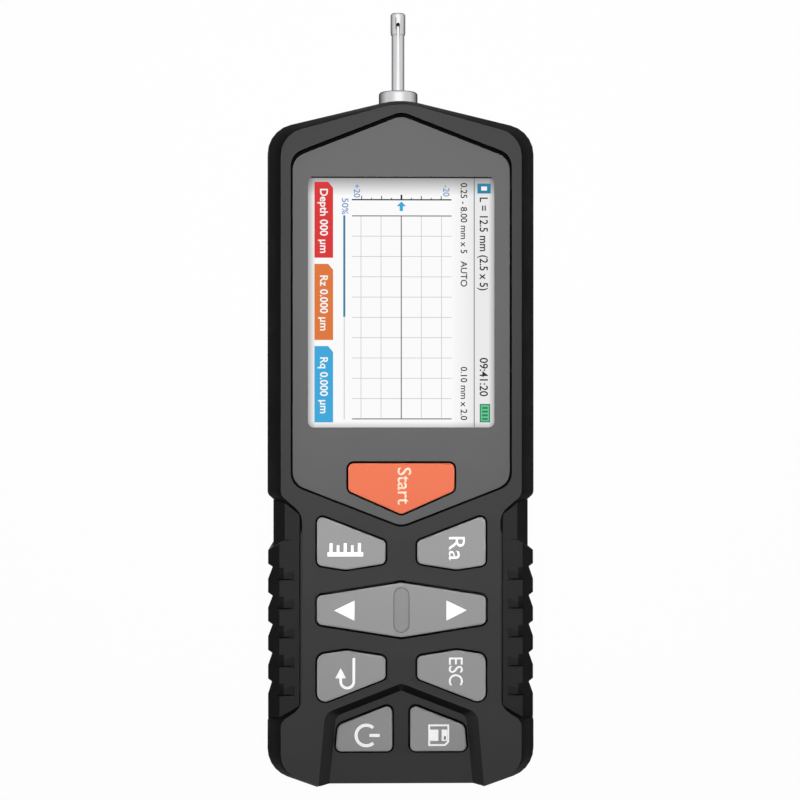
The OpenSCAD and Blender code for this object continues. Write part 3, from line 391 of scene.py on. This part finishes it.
def turned_steel(name, colour, roughness, grain=0.6, pitch=0.05, worn=0.94):
    """Turned and polished steel with faint rings round its axis, with a painted reflection of a bright
    ceiling and dark sides in its colour.
    """
    made = Finish(name, colour, roughness, metallic=1.0)
    made.set("Specular Tint", (0.1, 0.1, 0.1, 1))
    made.bump(made.noise(grain, stretch=(1, grain / pitch, 1)), depth=0.0012, strength=0.35)
    made.vary(made.noise(grain=2.5, detail=3), "Roughness", roughness - 0.04, roughness + 0.06)
    # Painted reflection: brightness set by how far the surface faces up
    painted_reflection = made.tree.nodes.new("ShaderNodeValToRGB")
    steps = painted_reflection.color_ramp.elements
    while len(steps) < len(PAINTED_STEEL_REFLECTION):
        steps.new(0.5)
    for step, (facing, level) in zip(steps, PAINTED_STEEL_REFLECTION):
        step.position = facing
        step.color = (*tone(level, level, level + 1), 1)
    made.link(made.part("Normal", "Z"), painted_reflection.inputs["Fac"])
    metal = made.mix(made.noise(grain=4), [c * worn for c in colour], colour)
    made.link(made.tint(painted_reflection.outputs["Color"], metal), made.shader.inputs["Base Color"])
    return made.material


def worked_metal(name, colour, roughness, lines=(1, 12, 1)):
    """Ground or milled metal with fine lines one way."""
    made = Finish(name, colour, roughness, metallic=1.0)
    made.bump(made.noise(grain=0.5, stretch=lines), depth=0.004, strength=0.4)
    made.vary(made.noise(grain=3, detail=3), "Roughness", roughness - 0.06, roughness + 0.08)
    made.cloud(made.noise(grain=5, detail=3), 0.05)
    return made.material


def threaded_steel(name, colour, pitch):
    """Steel whose relief runs round it as a fine thread."""
    made = Finish(name, colour, 0.3, metallic=1.0)
    rings = made.node("ShaderNodeTexWave", Scale=1 / (2 * pitch * MM), Distortion=0.0)
    rings.bands_direction = "Y"
    made.link(made.place(), rings.inputs["Vector"])
    made.bump(rings.outputs["Fac"], depth=0.25)
    made.cloud(made.noise(grain=3), 0.05)
    return made.material


def lit_finish(name, colour):
    """Black finish without gloss that gives off its colour's light."""
    made = Finish(name, (0.0, 0.0, 0.0), 0.6)
    made.set("Specular IOR Level", 0.0)
    made.set("Emission Color", (*colour, 1))
    return made


def lit(name, colour):
    """Colour of the lit screen."""
    made = lit_finish(name, colour)
    made.set("Emission Strength", 1.0)
    made.material.diffuse_color = (*colour, 1)
    return made.material


def screen_ground(name, colour, low, high):
    """Lit ground of the screen, with painted shade of the window's walls along its edges, and dimmer towards
    the title line on the right.
    """
    made = lit_finish(name, colour)
    title = high.x - 4 * MM
    shade = None
    # Each edge with painted shade, and the title line, with its place, how far the dimming reaches in
    # millimetres and the light left at the edge
    for axis, edge, reach, left in (
            ("Y", high.y, -3.9, 0.33), ("Y", low.y, 1.3, 0.62), ("X", low.x, 1.65, 0.42),
            ("X", high.x, -1.2, 0.5), ("X", title, -5.0, 0.86)):
        ramp = made.ramp(made.part("Object", axis), edge, edge + reach * MM, left)
        shade = made.both("MULTIPLY", shade, ramp) if shade else ramp
    made.link(shade, made.shader.inputs["Emission Strength"])
    return made.material


def clear_glass(name, colour, alpha, roughness, gloss=0.5):
    """Glass or gemstone with a faintly uneven surface."""
    made = Finish(name, colour, roughness)
    made.set("Alpha", alpha)
    made.set("Specular IOR Level", gloss)
    made.set("IOR", 1.5)
    made.bump(made.noise(grain=14), depth=0.004, strength=0.15)
    return made.material


# Corners sharper than this many degrees are rounded
SOFTEN_ANGLE = 28


def dress(node, material, edge=0.0, segments=2):
    """Gives a CAD piece its finish and, where asked, softly rounded edges."""
    piece = NODES[node]
    piece.data.materials.clear()
    piece.data.materials.append(material)
    piece.data.shade_smooth()
    weld = piece.modifiers.new("joined edges", "WELD")
    weld.merge_threshold = 1e-6
    if edge:
        soften = piece.modifiers.new("soft edges", "BEVEL")
        soften.width = edge
        soften.segments = segments
        soften.limit_method = "ANGLE"
        soften.angle_limit = math.radians(SOFTEN_ANGLE)
        soften.use_clamp_overlap = True
        soften.miter_outer = "MITER_ARC"
    even = piece.modifiers.new("even shading", "WEIGHTED_NORMAL")
    even.weight = 70
    even.keep_sharp = False


# Height of a capital letter as a share of the lettering's size
CAPITAL = 0.69
# Turn of lettering that reads down the case, in degrees
DOWNWARDS = -90


class Marks:
    """Flat printed shapes in millimetres, gathered into one thin mesh with a material for each colour."""

    def __init__(self, materials):
        self.mesh = bmesh.new()
        self.materials = materials

    def shape(self, points, z, colour=0):
        face = self.mesh.faces.new([self.mesh.verts.new((x, y, z)) for x, y in points])
        face.material_index = colour

    def bar(self, x0, y0, x1, y1, z, colour=0):
        self.shape([(x0, y0), (x1, y0), (x1, y1), (x0, y1)], z, colour)

    def arc(self, centre, radius, width, start, end, z, colour=0, steps=28):
        """Ring or part of one, from start to end in degrees."""
        for k in range(steps):
            a, b = [math.radians(start + (end - start) * (k + i) / steps) for i in (0, 1)]
            r, q = radius - width / 2, radius + width / 2
            self.shape([(centre[0] + m * math.cos(t), centre[1] + m * math.sin(t))
                        for m, t in ((r, a), (q, a), (q, b), (r, b))], z, colour)

    def words(self, text, height, at, z, colour=0, weight=0.0, wide=1.0):
        """Lettering that reads down the case, centred on a place, with capitals of the given height."""
        font = bpy.data.curves.new("lettering", "FONT")
        font.body = text
        font.size = height / CAPITAL
        font.align_x = "CENTER"
        font.align_y = "CENTER"
        font.offset = weight
        font.resolution_u = 4
        holder = bpy.data.objects.new("lettering", font)
        flat = bpy.data.meshes.new_from_object(holder)
        turned = Matrix.Rotation(math.radians(DOWNWARDS), 4, "Z")
        flat.transform(Matrix.Translation((*at, z)) @ turned @ Matrix.Diagonal((wide, 1, 1, 1)))
        known = len(self.mesh.faces)
        self.mesh.from_mesh(flat)
        self.mesh.faces.ensure_lookup_table()
        for face in self.mesh.faces[known:]:
            face.material_index = colour
        bpy.data.objects.remove(holder)
        bpy.data.curves.remove(font)
        bpy.data.meshes.remove(flat)

    def build(self, name, body, slot, thick=0.0):
        """Makes the mesh in metres, gives it its thickness and lets it ride on its body."""
        bmesh.ops.remove_doubles(self.mesh, verts=self.mesh.verts, dist=1e-5)
        bmesh.ops.scale(self.mesh, vec=(MM, MM, MM), verts=self.mesh.verts)
        self.mesh.normal_update()
        turned_down = [f for f in self.mesh.faces if f.normal.z < 0]
        bmesh.ops.reverse_faces(self.mesh, faces=turned_down)
        data = bpy.data.meshes.new(name)
        self.mesh.to_mesh(data)
        self.mesh.free()
        piece = bpy.data.objects.new(name, data)
        for material in self.materials:
            data.materials.append(material)
        bpy.context.scene.collection.objects.link(piece)
        if thick:
            film = piece.modifiers.new("film", "SOLIDIFY")
            film.thickness = thick
            film.offset = 1.0
        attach(piece, body)


def top_of(node):
    """Height of a piece's top, in millimetres."""
    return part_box(node)[1].z / MM


# Colours of the screen's page after its ground and its ink, as screen tones; edge is the painted shadow along
# the page's top
PAGE_TONES = {
    "rule": (118, 121, 126), "faint": (203, 206, 209), "red": (222, 62, 62), "orange": (226, 124, 66),
    "blue": (68, 171, 222), "green": (48, 138, 96), "white": (252, 252, 252), "pale_blue": (118, 152, 205),
    "deep_blue": (56, 132, 168), "pale_green": (112, 200, 152), "edge": (40, 40, 42),
}
# Length and height of the page in dots, how far its ground runs past them, and the end of the painted shadow
# along its upper edge
PAGE_LENGTH, PAGE_HEIGHT, PAGE_PAST, PAGE_TOP = 251, 187, 4, 0.8
# Start and pitch of the grid's cross lines, and both ends of them, in dots
GRID_START, GRID_PITCH, GRID_LOW, GRID_HIGH = 38.7, 20.38, 44.2, 144.2
GRID_SPACES = 10
# Gap under the page, gap between its layers, and inset of its shaded edges from the lens, in millimetres
PAGE_GAP, LAYER_GAP, GROUND_INSET = 0.02, 0.012, 1.0
LETTER_LAYER = 3


class ScreenPage(Marks):
    """Marks in dots on a page that lies on its side: along runs down the case, up runs to the right."""

    def __init__(self):
        low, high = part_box("screen_lens")
        inset = Vector((GROUND_INSET * MM, GROUND_INSET * MM, 0))
        super().__init__([screen_ground("screen_ground", colours().screen, low + inset, high - inset),
                          lit("screen_ink", colours().ink),
                          *(lit("screen_" + name, tone(*levels)) for name, levels in PAGE_TONES.items())])
        self.inks = {name: index for index, name in enumerate(("ground", "ink", *PAGE_TONES))}
        self.dot = sizes().screen_dot / MM
        self.middle = (low + high) / 2 / MM
        self.ground_z = top_of("lcd_module") + PAGE_GAP

    def place(self, along, up):
        return (self.middle.x + (up - PAGE_HEIGHT / 2) * self.dot,
                self.middle.y + (PAGE_LENGTH / 2 - along) * self.dot)

    def height(self, layer):
        return self.ground_z + LAYER_GAP * layer

    def block(self, along0, up0, along1, up1, layer, ink):
        (x0, y0), (x1, y1) = self.place(along1, up0), self.place(along0, up1)
        self.bar(x0, y0, x1, y1, self.height(layer), self.inks[ink])

    def patch(self, points, layer, ink):
        self.shape([self.place(*p) for p in points], self.height(layer), self.inks[ink])

    def write(self, text, along, up, tall, ink, weight=0.02, wide=1.0):
        self.words(text, tall * self.dot, self.place(along, up), self.height(LETTER_LAYER), self.inks[ink],
                   weight, wide)


class TESTER_OT_case(bpy.types.Operator):
    """Moulded covers and the screws that hold them together"""
    bl_idname = "tester.case"
    bl_label = "Case"

    def execute(self, context):
        low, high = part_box("front_panel")
        joint_depth = 0.5
        shell = shell_plastic("shell_plastic", colours().shell, colours().flank, colours().side,
                              panel_low=low.y - MM, panel_base=high.z / MM - joint_depth)
        dress("front_cover", shell, sizes().shell_edge, segments=3)
        back = moulded_plastic("back_plastic", colours().side, 0.55, gloss=0.01)
        dress("rear_cover", back, sizes().shell_edge / 2)
        dress("case_screws", worked_metal("zinc_screw", tone(150, 152, 155), 0.38), 0.1 * MM)
        dress("usb_socket", worked_metal("pressed_steel", tone(190, 192, 194), 0.3))
        return {"FINISHED"}


class TESTER_OT_grips(bpy.types.Operator):
    """Soft ribbed grips on both sides"""
    bl_idname = "tester.grips"
    bl_label = "Grips"

    def execute(self, context):
        low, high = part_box("rocker_key")
        first_step = (low.y + high.y) / 2 / MM + FIRST_STEP
        rubber = grip_rubber("grip_rubber", colours().grip, colours().flank, colours().side, first_step)
        for node in ("left_grip", "right_grip"):
            dress(node, rubber, sizes().grip_edge, segments=3)
        return {"FINISHED"}


class TESTER_OT_panel(bpy.types.Operator):
    """Satin front panel and the clear lens in its window"""
    bl_idname = "tester.panel"
    bl_label = "Front panel"

    def execute(self, context):
        satin = moulded_plastic("panel_satin", colours().panel, 0.45, grain=0.08, depth=0.004)
        dress("front_panel", satin, 0.15 * MM)
        glass = clear_glass("lens_glass", (0.01, 0.01, 0.01), alpha=0.02, roughness=0.05, gloss=0.05)
        dress("screen_lens", glass)
        return {"FINISHED"}


class TESTER_OT_screen(bpy.types.Operator):
    """Lit screen with a measuring page: scale, grid, progress line and coloured readings"""
    bl_idname = "tester.screen"
    bl_label = "Screen"

    def execute(self, context):
        dress("lcd_module", moulded_plastic("display_cell", tone(40, 42, 44), 0.4))
        page = ScreenPage()
        for lay in (self.ground, self.title, self.charge, self.settings, self.scale, self.pointer, self.grid,
                    self.progress, self.readings):
            lay(page)
        page.build("screen_page", "case", "display")
        return {"FINISHED"}

    def ground(self, page):
        """Lit ground, with a painted shadow of the window's upper wall along its upper edge"""
        start, high = -PAGE_PAST, PAGE_HEIGHT + PAGE_PAST
        page.block(start, start, PAGE_LENGTH + PAGE_PAST, high, 0, "ground")
        # Painted shadow of the window's upper wall
        page.block(start, start, PAGE_TOP, high, 1, "edge")

    def title(self, page):
        """Title line with its marker, figures and clock, over a rule"""
        rule_low, rule_high = 166.5, 167.4
        page.block(PAGE_TOP, rule_low, PAGE_LENGTH + PAGE_PAST, rule_high, 1, "rule")
        start, low, end, high = 6, 170.2, 16, 183.6
        rim_along, rim_up = 3, 3.8
        page.block(start, low, end, high, 1, "deep_blue")
        page.block(start + rim_along, low + rim_up, end - rim_along, high - rim_up, 2, "white")
        line, tall, weight = 176.1, 8.0, 0.03
        page.write("L = 12.5 mm (2.5 x 5)", 66.7, line, tall, "ink", weight, wide=0.92)
        page.write("09:41:20", 200.5, line, tall, "ink", weight, wide=0.98)

    def charge(self, page):
        """Battery sign with four bars"""
        start, low, end, high, rim = 227.5, 172.5, 246, 183, 1.2
        page.block(start, low, end, high, 1, "green")
        page.block(start + rim, low + rim, end - rim, high - rim, 2, "pale_green")
        first, pitch, wide = 3.0, 3.7, 2.0
        for bar in range(4):
            along = start + first + bar * pitch
            page.block(along, low + 2 * rim, along + wide, high - 2 * rim, 3, "green")

    def settings(self, page):
        """Line of settings beside the title line"""
        line, tall = 156.2, 6.4
        for text, along in (("0.25 - 8.00 mm x 5", 41), ("AUTO", 97), ("0.10 mm x 2.0", 217)):
            page.write(text, along, line, tall, "ink")

    def scale(self, page):
        """Scale across the page, with a tall tick in the middle and figures at its ends"""
        line_start, line_low, line_end = 21.8, 43.9, 23.1
        page.block(line_start, line_low, line_end, GRID_HIGH, 1, "ink")
        foot, first, pitch, ticks = 22.4, 53.9, 9.98, 9
        middle, long, short = (5.0, 0.9), (3.8, 0.45), (1.9, 0.4)
        for tick in range(ticks):
            tall, half = middle if tick == ticks // 2 else (long, short)[tick % 2]
            up = first + tick * pitch
            page.block(foot - tall, up - half, foot, up + half, 1, "ink")
        figures, tall = 13.4, 6.2
        page.write("+20", figures, 48.8, tall, "pale_blue")
        page.write("-20", figures, 138.5, tall, "pale_blue")

    def pointer(self, page):
        """Arrow that points at the middle of the scale"""
        tip, back, end, middle = 24.2, 29.0, 33.8, 93.7
        barb, stem = 4.7, 1.7
        page.patch([(tip, middle), (back, middle - barb), (back, middle - stem), (end, middle - stem),
                    (end, middle + stem), (back, middle + stem), (back, middle + barb)], 2, "blue")

    def grid(self, page):
        """Faint grid between two end lines, with a darker middle line"""
        thin, thick = 0.35, 0.55
        end = GRID_START + GRID_SPACES * GRID_PITCH
        for cross in range(GRID_SPACES + 1):
            along = GRID_START + cross * GRID_PITCH
            ink, half = ("faint", thin) if cross % GRID_SPACES else ("rule", thick)
            page.block(along - half, GRID_LOW, along + half, GRID_HIGH, 1, ink)
        for up in (53.2, 73.3, 113.8, 134.1):
            page.block(GRID_START, up - thin, end, up + thin, 1, "faint")
        middle_low, middle_high = 93.1, 94.2
        page.block(GRID_START, middle_low, end, middle_high, 2, "rule")

    def progress(self, page):
        """Line that is filled up to its share, with the share written before it"""
        start, reached, end = 38.2, 140, 243
        page.block(start, 35.4, reached, 37.5, 1, "deep_blue")
        page.block(reached, 35.9, end, 36.8, 1, "faint")
        page.write("50%", 29, 36.9, 6.4, "pale_blue", wide=1.08)

    def readings(self, page):
        """Coloured tags with a cut corner and a reading each"""
        low, high, line, tall = 6.5, 25.2, 15.6, 7.6
        cut_along, cut_up, shift = 6, 5.0, 1
        for start, end, ink, text in ((4.6, 80.8, "red", "Depth 000 \u00b5m"),
                                      (86.9, 163.3, "orange", "Rz 0.000 \u00b5m"),
                                      (169.4, 246, "blue", "Rq 0.000 \u00b5m")):
            page.patch([(start, low), (end, low), (end, high), (start + cut_along, high),
                        (start, high - cut_up)], 1, ink)
            page.write(text, (start + end) / 2 + shift, line, tall, "white", weight=0.04)


# Keys that share a plastic: its name, its colour and the keys
KEY_SETS = (
    ("start_plastic", "start", ("start",)),
    ("pad_key_plastic", "key", ("length", "parameter", "rocker", "enter", "escape")),
    ("low_key_plastic", "key", ("power", "save")),
)
# Height of a cap's top part that keeps its colour, in millimetres; below it the cap takes painted shade
UNSHADED_CAP = 1.0


class TESTER_OT_keys(bpy.types.Operator):
    """Key caps with their printed legends"""
    bl_idname = "tester.keys"
    bl_label = "Keys"

    def execute(self, context):
        # Painted shade for the key sides and the gap round the caps
        gap_shade = tone(12, 12, 13)
        for name, colour, keys in KEY_SETS:
            surface = top_of(keys[0] + "_key") - UNSHADED_CAP
            plastic = key_plastic(name, getattr(colours(), colour), gap_shade, surface)
            for key in keys:
                dress(key + "_key", plastic, sizes().key_edge)
        # The legends' print glows a little as painted light, the start key's cream print less
        white = printed_ink("legend_ink", colours().legend, glow=0.2)
        cream = printed_ink("start_ink", tone(253, 230, 205), glow=0.05)
        self.lettering("start", cream, "Start", 2.7, (0.45, -8.65), weight=0.03)
        self.ruler(white)
        self.lettering("parameter", white, "Ra", 3.28, (11.1, -21.3), wide=1.07)
        self.arrows(white, printed_ink("groove_painted_shade", tone(104, 104, 106)))
        self.turn_back(white)
        self.lettering("escape", white, "ESC", 2.8, (10.9, -46.4), wide=0.9)
        self.power(white)
        self.save(white, printed_ink("key_shade_ink", tone(120, 120, 122)))
        return {"FINISHED"}

    def done(self, marks, key):
        marks.build(key + "_legend", key + "_key_body", "grey_key", sizes().print_height)

    def lettering(self, key, ink, text, height, at, weight=0.0, wide=1.0):
        marks = Marks([ink])
        marks.words(text, height, at, top_of(key + "_key"), weight=weight, wide=wide)
        self.done(marks, key)

    def ruler(self, ink):
        """Ruler's edge with five ticks, every other one shorter"""
        marks = Marks([ink])
        z = top_of("length_key")
        left, low, right, edge = -15.05, -23.04, -7.76, -22.15
        marks.bar(left, low, right, edge, z)
        first, pitch = -14.32, 1.44
        long, short = (0.32, -20.3), (0.28, -20.72)
        for tick in range(5):
            half, top = (long, short)[tick % 2]
            middle = first + tick * pitch
            marks.bar(middle - half, edge, middle + half, top, z)
        self.done(marks, "length")

    def arrows(self, ink, shade):
        """Arrows, and a painted shade line round the rim of the finger groove"""
        marks = Marks([ink, shade])
        z = top_of("rocker_key")
        tip, back, shift = 13.5, 9.35, -0.2
        tip_y, back_high, back_low = -34.0, -32.0, -36.1
        for side in (-1, 1):
            marks.shape([(side * tip + shift, tip_y), (side * back + shift, back_high),
                         (side * back + shift, back_low)], z)
        # Painted shade along the rim of the finger groove, not print
        half, end, line, middle = 1.55, 3.0, 0.13, -33.95
        for side in (-1, 1):
            marks.bar(side * half - line / 2, middle - end, side * half + line / 2, middle + end, z, 1)
            marks.arc((0, middle + side * end), half, line, 90 - 90 * side, 270 - 90 * side, z, 1)
        self.done(marks, "rocker")

    def turn_back(self, ink):
        """Arrow that comes down, turns round a bend and points back up"""
        marks = Marks([ink])
        z = top_of("enter_key")
        middle, bend, radius, line = -11.02, -48.44, 1.335, 0.53
        long_top, short_top = -43.7, -47.7
        for stem, top in ((middle + radius, long_top), (middle - radius, short_top)):
            marks.bar(stem - line / 2, bend, stem + line / 2, top, z)
        marks.arc((middle, bend), radius, line, 180, 360, z)
        head, half, head_low, head_tip = -12.36, 1.09, -47.8, -45.7
        marks.shape([(head - half, head_low), (head + half, head_low), (head, head_tip)], z)
        self.done(marks, "enter")

    def power(self, ink):
        """Open ring with a bar through its gap"""
        marks = Marks([ink])
        z = top_of("power_key")
        x, y, radius, line, gap = -7.14, -59.75, 2.1, 0.62, 48
        marks.arc((x, y), radius, line, gap, 360 - gap, z, steps=36)
        bar_start, bar_end = -6.5, -4.4
        marks.bar(bar_start, y - line / 2, bar_end, y + line / 2, z)
        self.done(marks, "power")

    def save(self, ink, shade):
        """Diskette with a cut corner, its label, its shutter and the shutter's slot"""
        marks = Marks([ink, shade])
        z = top_of("save_key")
        left, low, right, high, line, cut = 5.54, -61.94, 9.81, -57.56, 0.35, 0.8
        inner_cut = cut + 0.14
        marks.bar(left, low, left + line, high, z)
        marks.bar(left + line, high - line, right, high, z)
        marks.bar(right - line, low + cut, right, high - line, z)
        marks.bar(left + line, low, right - cut, low + line, z)
        marks.shape([(right - cut, low), (right, low + cut), (right - line, low + inner_cut),
                     (right - inner_cut, low + line)], z)
        inner_low, inner_high = -60.9, -58.61
        for start, end in ((5.91, 7.58), (8.26, 9.4)):
            marks.bar(start, inner_low, end, inner_high, z)
        slot_left, slot_low, slot_right, slot_high, slot_up = 8.72, -60.65, 9.12, -59.95, 0.01
        marks.bar(slot_left, slot_low, slot_right, slot_high, z + slot_up, 1)
        self.done(marks, "save")


class TESTER_OT_pickup(bpy.types.Operator):
    """Polished stylus pickup with its sleeve, skid and point"""
    bl_idname = "tester.pickup"
    bl_label = "Pickup"

    def execute(self, context):
        polished = turned_steel("polished_steel", colours().steel, 0.24)
        dress("pickup_body", polished, 0.12 * MM, segments=3)
        dress("pickup_tube", polished)
        dress("tip_sleeve", turned_steel("sleeve_steel", colours().steel, 0.28), 0.05 * MM)
        dress("skid", clear_glass("ruby", tone(170, 30, 48), alpha=0.95, roughness=0.08))
        dress("stylus_arm", worked_metal("spring_steel", tone(150, 152, 156), 0.3))
        dress("stylus_tip", clear_glass("diamond", tone(235, 240, 244), alpha=0.7, roughness=0.03))
        dress("nose_bush", worked_metal("bush_brass", tone(196, 164, 92), 0.35), 0.1 * MM)
        return {"FINISHED"}


class TESTER_OT_inside(bpy.types.Operator):
    """Traverse drive, board, mat and battery inside the case"""
    bl_idname = "tester.inside"
    bl_label = "Inside"

    def execute(self, context):
        ground = worked_metal("ground_steel", tone(188, 190, 193), 0.25)
        brass = worked_metal("turned_brass", tone(196, 164, 92), 0.32)
        black = moulded_plastic("inner_plastic", tone(48, 49, 52), 0.5)
        milled = worked_metal("milled_aluminium", tone(186, 188, 191), 0.38, lines=(12, 1, 1))
        mask = moulded_plastic("solder_mask", tone(24, 62, 40), 0.3, grain=0.6, depth=0.02)
        wrap = moulded_plastic("cell_wrap", tone(58, 106, 165), 0.35, grain=4.0, depth=0.05)
        dress("drive_frame", milled, 0.2 * MM)
        dress("guide_rods", ground)
        dress("drive_motor", ground, 0.3 * MM)
        dress("gearbox", brass, 0.3 * MM)
        dress("lead_screw", threaded_steel("thread_steel", tone(176, 178, 182), pitch=1.0))
        dress("carriage", black, 0.3 * MM)
        dress("pickup_socket", black, 0.2 * MM)
        dress("slide_bushes", brass)
        dress("drive_nut", brass, 0.2 * MM)
        dress("keypad_mat", soft_rubber("silicone", tone(80, 83, 88)), 0.15 * MM)
        dress("main_board", mask)
        dress("battery_pack", wrap, 0.4 * MM)
        return {"FINISHED"}


# Low lamps round the case: place across and along in metres, and power in watts
RING_LAMPS = (
    ("left_lamp", -0.5, 0.03, 0.8), ("right_lamp", 0.5, 0.03, 0.75),
    ("head_lamp", 0.0, 0.55, 0.55), ("foot_lamp", 0.0, -0.55, 0.4),
)
# Width of the camera's view in degrees, and the height in millimetres that it is aimed at
VIEW_ANGLE, AIM_HEIGHT = 22.02, 33
# Strength of the world's light on the part, and of what the camera, metal and glass see of it
SOFT_LIGHT, SEEN_LIGHT = 0.14, 1.3
# Share of the floor's look that is plain white, and half its width in metres
FLOOR_WHITE, FLOOR_REACH = 0.97, 3.0


class TESTER_OT_stage(bpy.types.Operator):
    """Pale floor, soft studio light and the camera above the screen"""
    bl_idname = "tester.stage"
    bl_label = "Stage"

    def execute(self, context):
        scene = context.scene
        scene.view_settings.view_transform = "Standard"
        self.floor(scene)
        self.world(scene)
        along, height = 0.052, 0.55
        self.lamp(scene, "key_lamp", (0.0, along, height), (0.0, along, 0.0),
                  size=0.14, power=0.166, spread=44)
        low, aim = 0.09, (0.0, 0.0, 0.02)
        for name, x, y, power in RING_LAMPS:
            self.lamp(scene, name, (x, y, low), aim, size=0.12, power=power)
        self.camera(scene)
        return {"FINISHED"}

    def joined(self, tree, kind, a, b):
        """Two values, the second a number or a socket, joined by a kind of sum."""
        made = tree.nodes.new("ShaderNodeMath")
        made.operation = kind
        tree.links.new(a, made.inputs[0])
        if isinstance(b, bpy.types.NodeSocket):
            tree.links.new(b, made.inputs[1])
        else:
            made.inputs[1].default_value = b
        return made.outputs[0]

    def seen(self, tree):
        """1 on rays from the camera, and on those that metal and glass send."""
        path = tree.nodes.new("ShaderNodeLightPath")
        total = path.outputs["Is Camera Ray"]
        for ray in ("Is Glossy Ray", "Is Transmission Ray"):
            total = self.joined(tree, "MAXIMUM", total, path.outputs[ray])
        return total

    def blend(self, tree, share, unseen, seen, output):
        """Two shaders mixed by a share, led to the tree's output."""
        mix = tree.nodes.new("ShaderNodeMixShader")
        for socket, source in zip(mix.inputs, (share, unseen.outputs[0], seen.outputs[0])):
            tree.links.new(source, socket)
        end = tree.nodes.new(output)
        tree.links.new(mix.outputs[0], end.inputs["Surface"])

    def floor(self, scene):
        """Matte floor that keeps the shadow and looks white."""
        data = bpy.data.meshes.new("floor")
        corners = [(x * FLOOR_REACH, y * FLOOR_REACH, 0) for x, y in ((-1, -1), (1, -1), (1, 1), (-1, 1))]
        data.from_pydata(corners, [], [(0, 1, 2, 3)])
        floor = bpy.data.objects.new("floor", data)
        scene.collection.objects.link(floor)
        paper = bpy.data.materials.new("floor_paper")
        paper.use_nodes = True
        tree = paper.node_tree
        tree.nodes.clear()
        matte = tree.nodes.new("ShaderNodeBsdfDiffuse")
        matte.inputs["Color"].default_value = (0.8, 0.8, 0.8, 1)
        glow = tree.nodes.new("ShaderNodeEmission")
        glow.inputs["Strength"].default_value = 1.0
        share = self.joined(tree, "MULTIPLY", self.seen(tree), FLOOR_WHITE)
        self.blend(tree, share, matte, glow, "ShaderNodeOutputMaterial")
        data.materials.append(paper)

    def world(self, scene):
        """White surroundings that light the part only softly."""
        world = bpy.data.worlds.new("studio")
        world.use_nodes = True
        scene.world = world
        tree = world.node_tree
        tree.nodes.clear()
        soft, white = [tree.nodes.new("ShaderNodeBackground") for _ in range(2)]
        soft.inputs["Strength"].default_value = SOFT_LIGHT
        white.inputs["Strength"].default_value = SEEN_LIGHT
        self.blend(tree, self.seen(tree), soft, white, "ShaderNodeOutputWorld")

    def lamp(self, scene, name, at, aim, size, power, spread=180):
        """Round soft lamp, whose beam may be narrowed to a spread in degrees."""
        data = bpy.data.lights.new(name, "AREA")
        data.shape = "DISK"
        data.size = size
        data.energy = power
        data.spread = math.radians(spread)
        lamp = bpy.data.objects.new(name, data)
        lamp.location = at
        lamp.rotation_euler = (Vector(aim) - Vector(at)).to_track_quat("-Z", "Y").to_euler()
        lamp.visible_glossy = False
        scene.collection.objects.link(lamp)

    def camera(self, scene):
        """Camera nearly straight above the front, a little to its left."""
        look = sizes()
        data = bpy.data.cameras.new("camera")
        data.sensor_width = 36
        data.angle = math.radians(VIEW_ANGLE)
        data.clip_start = 0.01
        data.clip_end = 20
        camera = bpy.data.objects.new("camera", data)
        camera.location = (look.camera_shift - look.camera_aside, look.camera_aim, look.camera_height)
        aim = Vector((look.camera_shift, look.camera_aim, AIM_HEIGHT * MM))
        ahead = (aim - camera.location).normalized()
        side = ahead.cross(Vector((0, 1, 0))).normalized()
        up = side.cross(ahead)
        camera.rotation_euler = Matrix((side, up, -ahead)).transposed().to_euler()
        scene.collection.objects.link(camera)
        scene.camera = camera


class TESTER_PT_sidebar(bpy.types.Panel):
    bl_idname = "TESTER_PT_sidebar"
    bl_label = "Roughness tester"
    bl_space_type = "VIEW_3D"
    bl_region_type = "UI"
    bl_category = "Tester"

    def draw(self, context):
        for made in OPERATORS:
            self.layout.operator(made.bl_idname)
        for group in (context.scene.tester_colours, context.scene.tester_sizes):
            box = self.layout.box()
            for name in group.__annotations__:
                box.prop(group, name)


OPERATORS = (TESTER_OT_case, TESTER_OT_grips, TESTER_OT_panel, TESTER_OT_screen, TESTER_OT_keys,
             TESTER_OT_pickup, TESTER_OT_inside, TESTER_OT_stage)
CLASSES = (TesterColours, TesterSizes, *OPERATORS, TESTER_PT_sidebar)


def register():
    for made in CLASSES:
        bpy.utils.register_class(made)
    bpy.types.Scene.tester_colours = bpy.props.PointerProperty(type=TesterColours)
    bpy.types.Scene.tester_sizes = bpy.props.PointerProperty(type=TesterSizes)


def unregister():
    del bpy.types.Scene.tester_sizes
    del bpy.types.Scene.tester_colours
    for made in reversed(CLASSES):
        bpy.utils.unregister_class(made)


def main():
    register()
    bpy.ops.tester.case()
    bpy.ops.tester.grips()
    bpy.ops.tester.panel()
    bpy.ops.tester.screen()
    bpy.ops.tester.keys()
    bpy.ops.tester.pickup()
    bpy.ops.tester.inside()
    bpy.ops.tester.stage()


if __name__ == "__main__":
    main()
